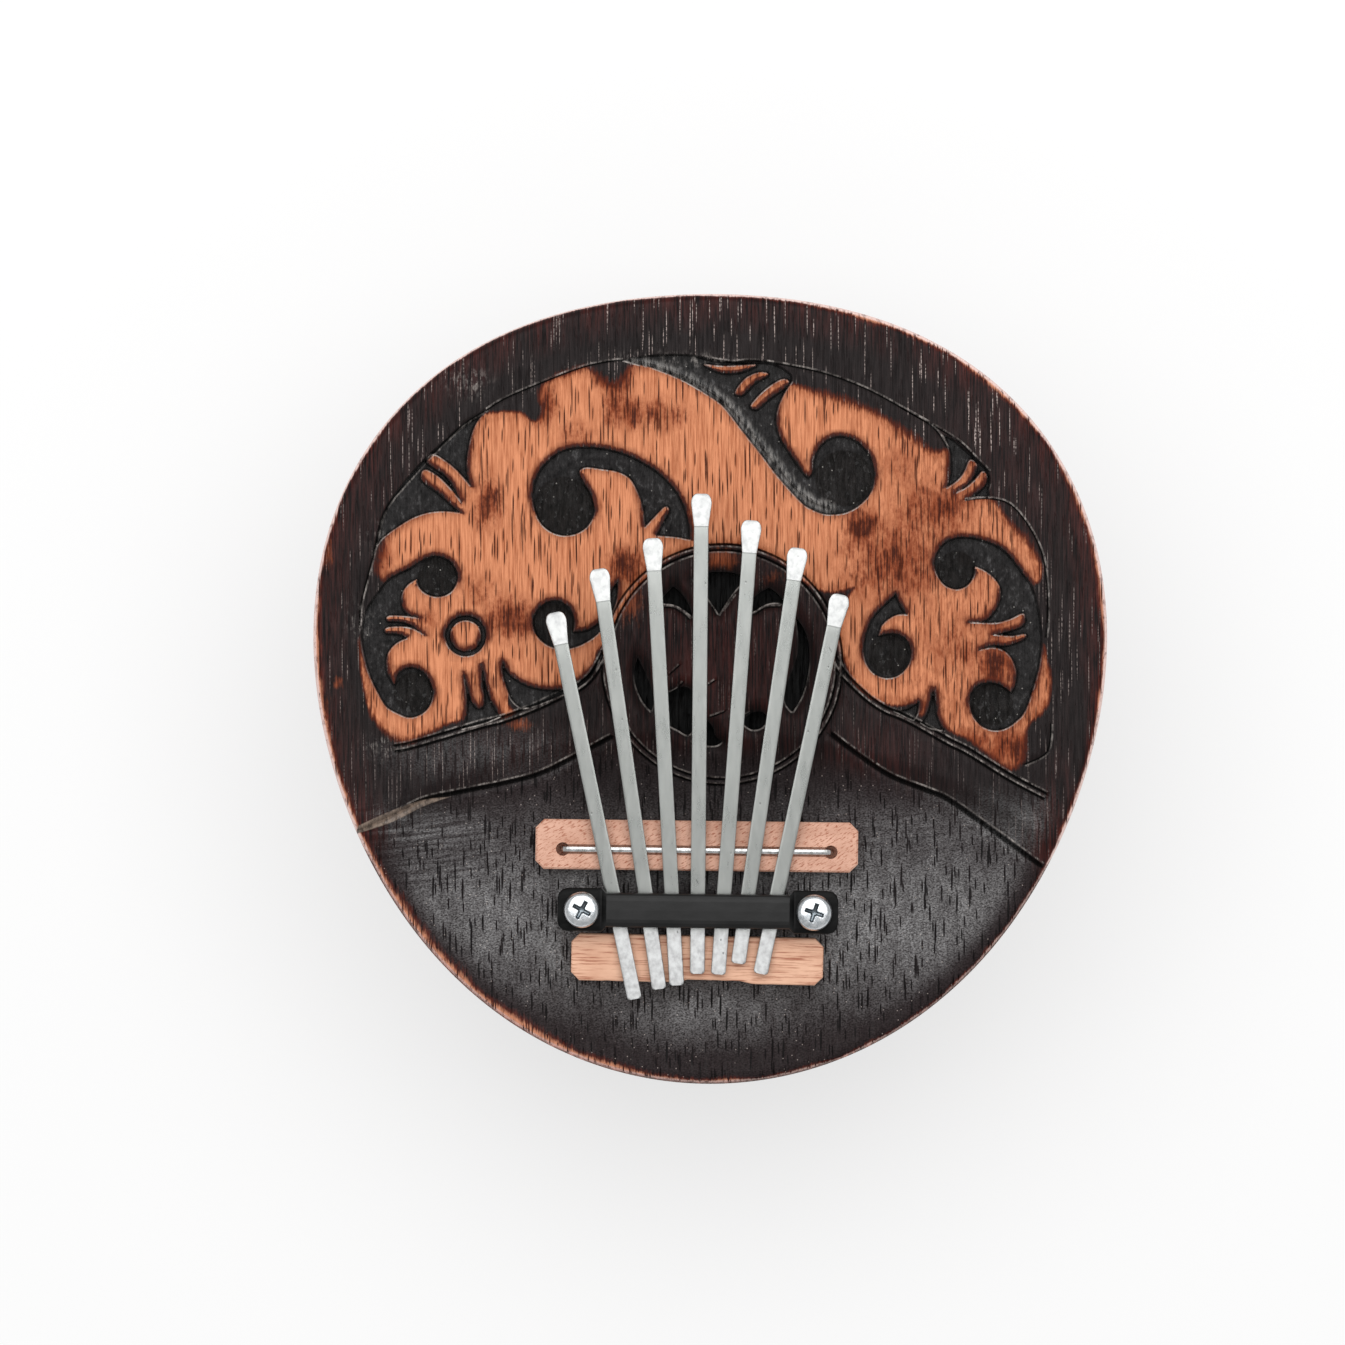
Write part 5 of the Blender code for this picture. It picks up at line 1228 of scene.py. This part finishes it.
def board_wood():
    """Open-pored wood: a scorched orange leaf in a dark stained ground, blackened in the carving."""
    paint = Paint("carved_wood")
    look = BoardNoise(paint)
    stain = stain_share(paint, look)
    ground = paint.blend(leaf_wood(paint, look), seen(84, 34, 20), stain, 0.0, 0.5)
    ground = paint.blend(ground, dark_wood(paint, look), stain, 0.4, 1.0)
    cut = paint.between(paint.mask("pocket"), -0.05, 0.12)
    ground = paint.mix(ground, cut_wood(paint, look), cut)
    # Darker towards each gap, within about a millimetre of its edge
    ground = paint.blend(ground, seen(11, 10, 10), paint.mask("gap"), -1.1, -0.1, 0.0, 0.8)
    ground = wear_and_painted_highlights(paint, look, ground)
    # Painted shade: the walls of the pierced gaps are near black
    ground = paint.blend(ground, seen(7, 6, 6), paint.mask("gap"), 0.05, 0.5)
    deck = paint.fade(paint.mask("polish"), stain, 0.6, 1.0)
    shine = paint.fade(deck, look.grain, 0.34, 0.66, 0.35, 2.3)
    shine = paint.fade(shine, look.cloud, 0.35, 0.65, 0.75, 1.25)
    shine = paint.fade(shine, look.thin_pore, 0.0, 1.0, 1.0, 0.05)
    ridge = paint.fade(cut, paint.mask("ridge"), 0.3, 1.2, 0.6, 0.0)
    gloss = paint.between(stain, 0.4, 1.0, 0.05, 0.1)
    gloss = paint.fade(gloss, look.streak, 0.3, 0.7, 0.3, 1.6)
    glint = paint.fade(cut, look.mottle, 0.56, 0.64, 0.0, 0.4)
    gloss = paint.most(shine, ridge, glint, gloss)
    ripple = paint.noise((14, 1.3, 5), 1.0, turn=0.12)
    rough = paint.between(look.mottle, 0.3, 0.7, 0.34, 0.48)
    height = paint.fade(look.grain, deck, 0.0, 1.0, 0.4, 1.4)
    height = paint.plus(height, paint.times(ripple, paint.mask("rippled"), 9.0))
    height = paint.minus(height, paint.most(look.thin_pore, paint.times(look.pore, 0.6)))
    height = paint.plus(height, paint.times(look.mottle, cut, 4.0))
    normal = paint.bump(height, 0.1 * MM, 0.7)
    return paint.finish(Base_Color=ground, Roughness=rough, Specular_IOR_Level=gloss, Normal=normal)


def stain_share(paint, look):
    """Where the dark stain covers the wood, from 0 on the leaf to 1 beside it, with burnt soft edges."""
    half = paint.between(paint.mask("soft"), 0.0, 1.0, 0.34, 1.1)
    ragged = paint.between(look.mottle, 0.3, 0.7, -0.4, 0.4)
    ragged = paint.plus(ragged, paint.between(look.streak, 0.25, 0.75, -0.8, 0.8))
    inside_leaf = paint.plus(paint.mask("leaf"), paint.times(ragged, half))
    stain = paint.between(inside_leaf, paint.times(half, -1.0), half, 1.0, 0.0)
    # Painted highlight: the burn beside a pocket is weaker on its lower rim, which faces the lamp, so that
    # rim stays lighter
    above = paint.between(paint.mask("lower_rim"), 0.0, 0.5, 1.0, 0.25)
    torched = paint.times(paint.between(paint.mask("pocket"), -1.1, -0.05), above)
    torched = paint.fade(torched, look.char, 0.3, 0.6, 0.5, 1.1)
    return paint.most(stain, torched)


def leaf_wood(paint, look):
    """The leaf's orange wood, browner to the right and at its edge, with scorched spots."""
    orange = paint.blend(seen(150, 82, 52), seen(217, 143, 104), look.streak, 0.29, 0.59)
    brown = paint.blend(seen(142, 76, 50), seen(212, 138, 100), look.streak, 0.3, 0.62)
    share = paint.fade(paint.mask("brown"), look.cloud, 0.35, 0.6, 0.35, 1.0)
    leaf = paint.mix(orange, brown, share)
    fleck = paint.times(paint.between(look.char, 0.5, 0.62), paint.mask("brown"), 0.5)
    leaf = paint.mix(leaf, seen(112, 54, 32), fleck)
    halo = paint.between(paint.mask("leaf"), 0.2, 1.9, 0.85, 0.0)
    leaf = paint.mix(leaf, seen(122, 56, 28), paint.fade(halo, look.char, 0.35, 0.6))
    patchy = paint.between(look.streak, 0.3, 0.7, -0.45, 0.45)
    patchy = paint.plus(patchy, paint.between(look.mottle, 0.3, 0.7, -0.25, 0.25))
    patchy = paint.plus(patchy, paint.between(look.cloud, 0.3, 0.7, -0.25, 0.25))
    patchy = paint.fade(patchy, paint.mask("scorch"), 0.02, 0.3)
    scorch = paint.plus(paint.mask("scorch"), patchy)
    leaf = paint.blend(leaf, seen(130, 60, 34), scorch, 0.1, 0.6, 0.0, 0.9)
    leaf = paint.blend(leaf, seen(56, 21, 14), scorch, 0.55, 1.0, 0.0, 0.95)
    pore = paint.fade(look.pore, look.cloud, 0.35, 0.6, 0.7, 1.0)
    pore = paint.most(pore, paint.fade(look.dense_pore, scorch, 0.15, 0.7, 0.0, 0.8))
    return paint.mix(leaf, seen(66, 28, 17), pore)


def dark_wood(paint, look):
    """The stained ground: near black, reddish in streaks; the deck is greyer, with black pores."""
    rim = paint.between(paint.mask("edge"), 0.0, 7.0, 0.9, 0.0)
    red = paint.most(paint.mask("red"), paint.fade(rim, look.broad, 0.34, 0.55))
    reddish = paint.fade(paint.between(look.streak, 0.4, 0.62), red, 0.0, 1.0, 0.05, 1.0)
    dark = paint.mix(seen(25, 21, 21), seen(74, 27, 22), reddish)
    dust = paint.fade(look.fine_pore, paint.mask("dusty"), NO_DUST, 0.8)
    dark = paint.mix(dark, seen(176, 160, 154), dust)
    deck = paint.blend(seen(24, 18, 18), seen(50, 42, 43), look.grain, 0.35, 0.7)
    pore = paint.fade(look.thin_pore, look.broad, 0.3, 0.6, 0.6, 1.0)
    deck = paint.mix(deck, seen(5, 4, 4), pore)
    speck = paint.dots((1.9, 1.9), 0.03, 0.06, 0.6)
    speck = paint.fade(speck, look.cloud, 0.5, 0.56)
    dark = paint.mix(dark, paint.mix(deck, seen(186, 172, 164), speck), paint.mask("deck"))
    bronze = paint.blend(seen(64, 26, 18), seen(150, 78, 46), look.streak, 0.35, 0.65)
    thin = paint.plus(paint.mask("bronze"), paint.between(look.char, 0.3, 0.7, -0.3, 0.3))
    return paint.blend(dark, bronze, thin, 0.35, 0.9)


def cut_wood(paint, look):
    """The floors of the carving: black, blackest in the pits, with dust and a painted highlight along the
    ridge.
    """
    black = paint.blend(seen(24, 23, 23), seen(52, 50, 50), look.mottle, 0.35, 0.7)
    pit = paint.blend(seen(16, 15, 14), seen(36, 33, 32), look.char, 0.35, 0.65)
    black = paint.blend(black, pit, paint.mask("pit"), 0.0, 0.25)
    dust = paint.dots((3.1, 3.1), 0.025, 0.045, 0.7)
    dust = paint.fade(dust, look.cloud, 0.48, 0.56)
    black = paint.mix(black, seen(160, 156, 150), dust)
    # Painted highlight: a grey band of glints along the ridge inside the right scroll
    scraped = paint.between(paint.mask("ridge"), 0.3, 1.4, 0.8, 0.0)
    scraped = paint.fade(scraped, look.char, 0.44, 0.6)
    return paint.mix(black, seen(146, 142, 138), scraped)


def wear_and_painted_highlights(paint, look, ground):
    """Bare wood along the board's edge with a painted highlight at its rim, painted highlights on the
    carving's lower edges, on the lit sides of gouged lines and on the petals, and scuffs with two painted
    glints.
    """
    edge = paint.mask("edge")
    width = paint.fade(paint.mask("worn_width"), look.streak, 0.25, 0.75, 0.6, 1.3)
    bare_and_lit = paint.between(edge, paint.times(width, 0.55), width, 1.0, 0.0)
    bare_and_lit = paint.fade(bare_and_lit, look.mottle, 0.32, 0.48, 0.35, 1.0)
    fringe = paint.between(edge, width, paint.times(width, 1.6), 0.75, 0.0)
    ground = paint.mix(ground, seen(98, 40, 29), paint.fade(fringe, look.char, 0.35, 0.6))
    # Painted highlight: the outermost rim of the bare edge is pinkish white, as where light catches it;
    # further in the bare wood is orange
    bare_and_lit_wood = paint.blend(seen(236, 206, 198), seen(212, 144, 112), edge, 0.35, 0.7)
    marred = paint.most(look.pore, paint.between(look.char, 0.55, 0.65))
    bare_and_lit_wood = paint.mix(bare_and_lit_wood, seen(62, 26, 19), paint.fade(marred, edge, 0.1, 0.4))
    ground = paint.mix(ground, bare_and_lit_wood, bare_and_lit)
    ground = paint.blend(ground, seen(8, 8, 8), paint.mask("groove"), 0.5, 1.1, 0.9, 0.0)
    # Painted highlight: a pale lip along the lower rim of each pocket, where the light falls on it
    lip_highlight = paint.apart(paint.mask("pocket"), -0.05)
    lip_highlight = paint.times(paint.between(lip_highlight, 0.06, 0.15, 1.0, 0.0), paint.mask("lower_rim"))
    lip_highlight = paint.fade(lip_highlight, look.cloud, 0.38, 0.58, 0.35, 1.0)
    # Painted highlight: a pale line along the lit edge of each gouged line
    line = paint.between(paint.mask("lit_edge"), 0.08, 0.19, 0.85, 0.0)
    line = paint.fade(line, look.cloud, 0.44, 0.58, 0.3, 1.0)
    line = paint.fade(line, look.char, 0.36, 0.56, 0.25, 1.0)
    # Painted highlight: a pale edge on the petals just below each gap
    petal = paint.apart(paint.mask("gap"), -0.12)
    petal = paint.times(paint.between(petal, 0.08, 0.2, 0.75, 0.0), paint.mask("gap_below"))
    # All the painted highlights on the carving together
    carving_highlight = paint.fade(paint.most(lip_highlight, line, petal), look.mottle, 0.38, 0.58)
    # Real scuffs, and two painted glints at the top of the right scroll
    scuff = paint.times(paint.mask("scuff"), paint.between(look.mottle, 0.5, 0.62), 0.7)
    scuff = paint.fade(scuff, look.streak, 0.4, 0.6)
    ground = paint.mix(ground, seen(176, 168, 162), paint.most(carving_highlight, scuff))
    taupe = paint.blend(seen(66, 58, 53), seen(128, 112, 100), look.mottle, 0.35, 0.6)
    return paint.blend(ground, taupe, paint.mask("gouge"), -0.05, 0.12)


def bridge_wood(name, shades, fleck_size, fleck_turn, fleck_share):
    """Pale unfinished wood with darker flecks or lines of one size and direction."""
    paint = Paint(name)
    cloud = paint.noise((6, 3, 3), 3.0)
    fine = paint.noise((0.25, 0.25, 0.25), 3.0)
    fleck = paint.noise(fleck_size, 4.0, 0.65, fleck_turn)
    wood = paint.blend(*shades, cloud, 0.3, 0.7)
    wood = paint.blend(wood, seen(160, 96, 72), fleck, 0.52, 0.63, 0.0, fleck_share)
    height = paint.plus(paint.times(fine, 0.6), paint.times(fleck, -1.0))
    rough = paint.between(fine, 0.3, 0.7, 0.62, 0.8)
    normal = paint.bump(height, 0.06 * MM, 0.6)
    return paint.finish(Base_Color=wood, Roughness=rough, Specular_IOR_Level=0.2, Normal=normal)


def tine_steel():
    """Rolled spring steel: even grey, specked and scratched, bright at the tip, spangled at the tail."""
    paint = Paint("rolled_steel")
    from_tip = paint.mask("from_tip")
    cloud = paint.noise((1.2, 5, 2), 4.0)
    hammered = paint.noise((0.9, 1.1, 1), 3.0)
    rolled = paint.noise((0.1, 4, 1), 3.0)
    speck = paint.dots((1.9, 3.1, 2), 0.05, 0.09)
    scratch = paint.dots((2.5, 14, 5), 0.03, 0.045, turn=0.5)
    steel = paint.blend(seen(153, 156, 153), seen(163, 165, 162), cloud, 0.3, 0.7)
    marks = paint.most(paint.times(speck, 0.5), paint.times(scratch, 0.6))
    steel = paint.mix(steel, seen(92, 94, 92), marks)
    tip = paint.between(from_tip, TIP_LENGTH / MM - 0.05, TIP_LENGTH / MM, 1.0, 0.0)
    ground = paint.blend(seen(160, 161, 161), seen(180, 181, 180), hammered, 0.3, 0.55)
    ground = paint.blend(ground, seen(120, 120, 120), from_tip, 0.0, 0.4, 0.8, 0.0)
    steel = paint.mix(steel, ground, tip)
    tail = paint.between(paint.mask("behind"), 2.0, 4.0)
    spangled = paint.blend(seen(138, 138, 138), seen(166, 167, 167), hammered, 0.3, 0.65)
    steel = paint.mix(steel, paint.mix(spangled, seen(84, 84, 84), paint.times(speck, 0.8)), tail)
    # Painted shade: a thin darker line across the tine at the crease where the ground tip begins
    crease = paint.apart(from_tip, TIP_LENGTH / MM + 0.08)
    steel = paint.blend(steel, seen(96, 98, 97), crease, 0.04, 0.12, 0.35, 0.0)
    uneven = paint.most(tip, tail)
    rough = paint.plus(paint.between(cloud, 0.3, 0.7, 0.26, 0.32), paint.times(uneven, 0.08))
    height = paint.plus(rolled, paint.times(speck, -3.0))
    height = paint.plus(height, paint.times(hammered, uneven, 6.0))
    normal = paint.bump(height, 0.01 * MM, 0.5)
    return paint.finish(Base_Color=steel, Metallic=1.0, Roughness=rough, Normal=normal)


def bright_steel(name, tint, recess):
    """Plated steel for the screws and the wire: bright, lightly scratched, with painted shade down in a
    recess.
    """
    paint = Paint(name)
    cloud = paint.noise((0.7, 0.9, 0.8), 4.0)
    fine = paint.noise((0.08, 0.5, 0.2), 2.0, turn=0.7)
    steel = paint.blend(tint, seen(232, 234, 236), cloud, 0.35, 0.7)
    if recess:
        # Painted shade: darker bluish grey down in the cross recess
        steel = paint.blend(steel, seen(70, 84, 92), paint.mask("recess"), 0.1, 0.5, 0.0, 0.8)
    rough = paint.between(fine, 0.3, 0.7, 0.16, 0.32)
    normal = paint.bump(fine, 0.01 * MM, 0.4)
    return paint.finish(Base_Color=steel, Metallic=1.0, Roughness=rough, Normal=normal)


def blackened_steel():
    """Satin black oxide, rubbed a little greyer in places."""
    paint = Paint("blackened_steel")
    cloud = paint.noise((4, 2, 2), 4.0)
    fine = paint.noise((0.3, 0.2, 0.2), 3.0)
    steel = paint.blend(seen(13, 13, 13), seen(26, 26, 26), cloud, 0.35, 0.7)
    rough = paint.between(fine, 0.3, 0.7, 0.34, 0.48)
    along = paint.node("SeparateXYZ", {0: paint.node("TexCoord")["Generated"]})["X"]
    from_middle = paint.apart(along, 0.5)
    gloss = paint.between(from_middle, 0.33, 0.35, 0.25, 0.06)
    normal = paint.bump(fine, 0.02 * MM, 0.5)
    return paint.finish(Base_Color=steel, Roughness=rough, Specular_IOR_Level=gloss, Normal=normal)


def coconut_husk():
    """Scraped coconut shell: dark brown, streaked from rim to foot, freckled, with painted shade inside."""
    paint = Paint("coconut_husk")
    streak = paint.noise_at(paint.around(0.02, 30 * MM), 4.0)
    fibre = paint.noise_at(paint.around(0.006, 12 * MM), 3.0)
    cloud = paint.noise((9, 9, 9), 3.0)
    freckle = paint.dots((2.2, 2.2, 3.5), 0.1, 0.2)
    shell = paint.blend(seen(46, 28, 20), seen(98, 64, 42), streak, 0.35, 0.68)
    shell = paint.mix(shell, seen(134, 96, 66), paint.times(paint.between(fibre, 0.56, 0.72), 0.7))
    shell = paint.mix(shell, seen(30, 19, 14), paint.fade(freckle, cloud, 0.4, 0.6))
    # Painted shade: the inside is darker, as it lies in shadow under the board
    shaded_inside = paint.blend(seen(18, 14, 11), seen(34, 25, 19), fibre, 0.3, 0.7)
    shell = paint.mix(shell, shaded_inside, paint.mask("hollow"))
    rough = paint.between(streak, 0.3, 0.7, 0.32, 0.5)
    height = paint.minus(fibre, freckle)
    return paint.finish(Base_Color=shell, Roughness=rough, Normal=paint.bump(height, 0.12 * MM, 0.6))


def repaint(node, material):
    """Give a CAD node that is kept its own material."""
    mesh = bpy.data.objects[node].data
    mesh.materials.clear()
    mesh.materials.append(material)


def floor_and_world():
    """A white floor under the shell, partly glowing where camera, glossy and transmission rays meet it, and
    an evenly white world.
    """
    mesh = bpy.data.meshes.new("floor")
    corners = [(x * FLOOR_HALF, y * FLOOR_HALF, 0) for x, y in ((-1, -1), (1, -1), (1, 1), (-1, 1))]
    mesh.from_pydata(corners, [], [(0, 1, 2, 3)])
    floor = linked("floor", mesh)
    paint = Paint("white_floor")
    paint.finish(Base_Color=FLOOR_COLOUR, Roughness=0.9)
    path = paint.node("LightPath")
    direct = paint.most(*(path[f"Is {kind} Ray"] for kind in ("Camera", "Glossy", "Transmission")))
    glow = paint.node("Emission", {"Color": WHITE})[0]
    surface = {"Fac": paint.times(direct, FLOOR_GLOW), 1: paint.shader.outputs[0], 2: glow}
    output = paint.tree.nodes["Material Output"]
    paint.put(output.inputs["Surface"], paint.node("MixShader", surface)[0])
    mesh.materials.append(paint.material)
    world = bpy.data.worlds.new("studio")
    bpy.context.scene.world = world
    world.use_nodes = True
    background = world.node_tree.nodes["Background"]
    background.inputs["Color"].default_value = WHITE
    background.inputs["Strength"].default_value = WORLD_STRENGTH


def overhead_light():
    """A soft panel above the board, turned down to it."""
    lamp = bpy.data.lights.new("overhead", "AREA")
    lamp.shape = "RECTANGLE"
    lamp.size, lamp.size_y = LAMP_SIZE
    lamp.energy = LAMP_POWER
    light = linked("overhead", lamp)
    light.location = LAMP_PLACE
    light.rotation_euler = (Vector(LAMP_AIM) - Vector(LAMP_PLACE)).to_track_quat("-Z", "Y").to_euler()
    light.visible_camera = False


def camera():
    """Straight down on the board, as the photo was taken."""
    lens = bpy.data.cameras.new("camera")
    lens.sensor_width = SENSOR_WIDTH
    lens.lens = FOCAL_LENGTH
    lens.clip_end = 20.0
    eye = linked("camera", lens)
    eye.location = CAMERA_PLACE
    bpy.context.scene.camera = eye


carved_board()
coconut_bowl(coconut_husk())
rolled_steel = tine_steel()
for tine_number in TINES:
    steel_tine(tine_number, rolled_steel)
plated = bright_steel("plated_steel", seen(186, 192, 196), True)
cross_screw(-1, "cross_screw_left", "screw_left", 62, plated)
cross_screw(1, "cross_screw_right", "screw_right", 72, plated)
rear_shades = seen(212, 163, 136), seen(232, 186, 158)
rear_block(bridge_wood("rear_bridge_wood", rear_shades, (7, 0.32, 0.4), -0.02, 0.85))
front_shades = seen(200, 152, 130), seen(224, 178, 156)
front_wood = bridge_wood("front_bridge_wood", front_shades, (1.0, 0.26, 0.5), 0.5, 1.0)
repaint("front_bridge", front_wood)
repaint("bridge_wire", bright_steel("wire_steel", seen(176, 176, 174), False))
repaint("pressure_bar", blackened_steel())
floor_and_world()
overhead_light()
camera()
bpy.context.scene.view_settings.view_transform = "Standard"
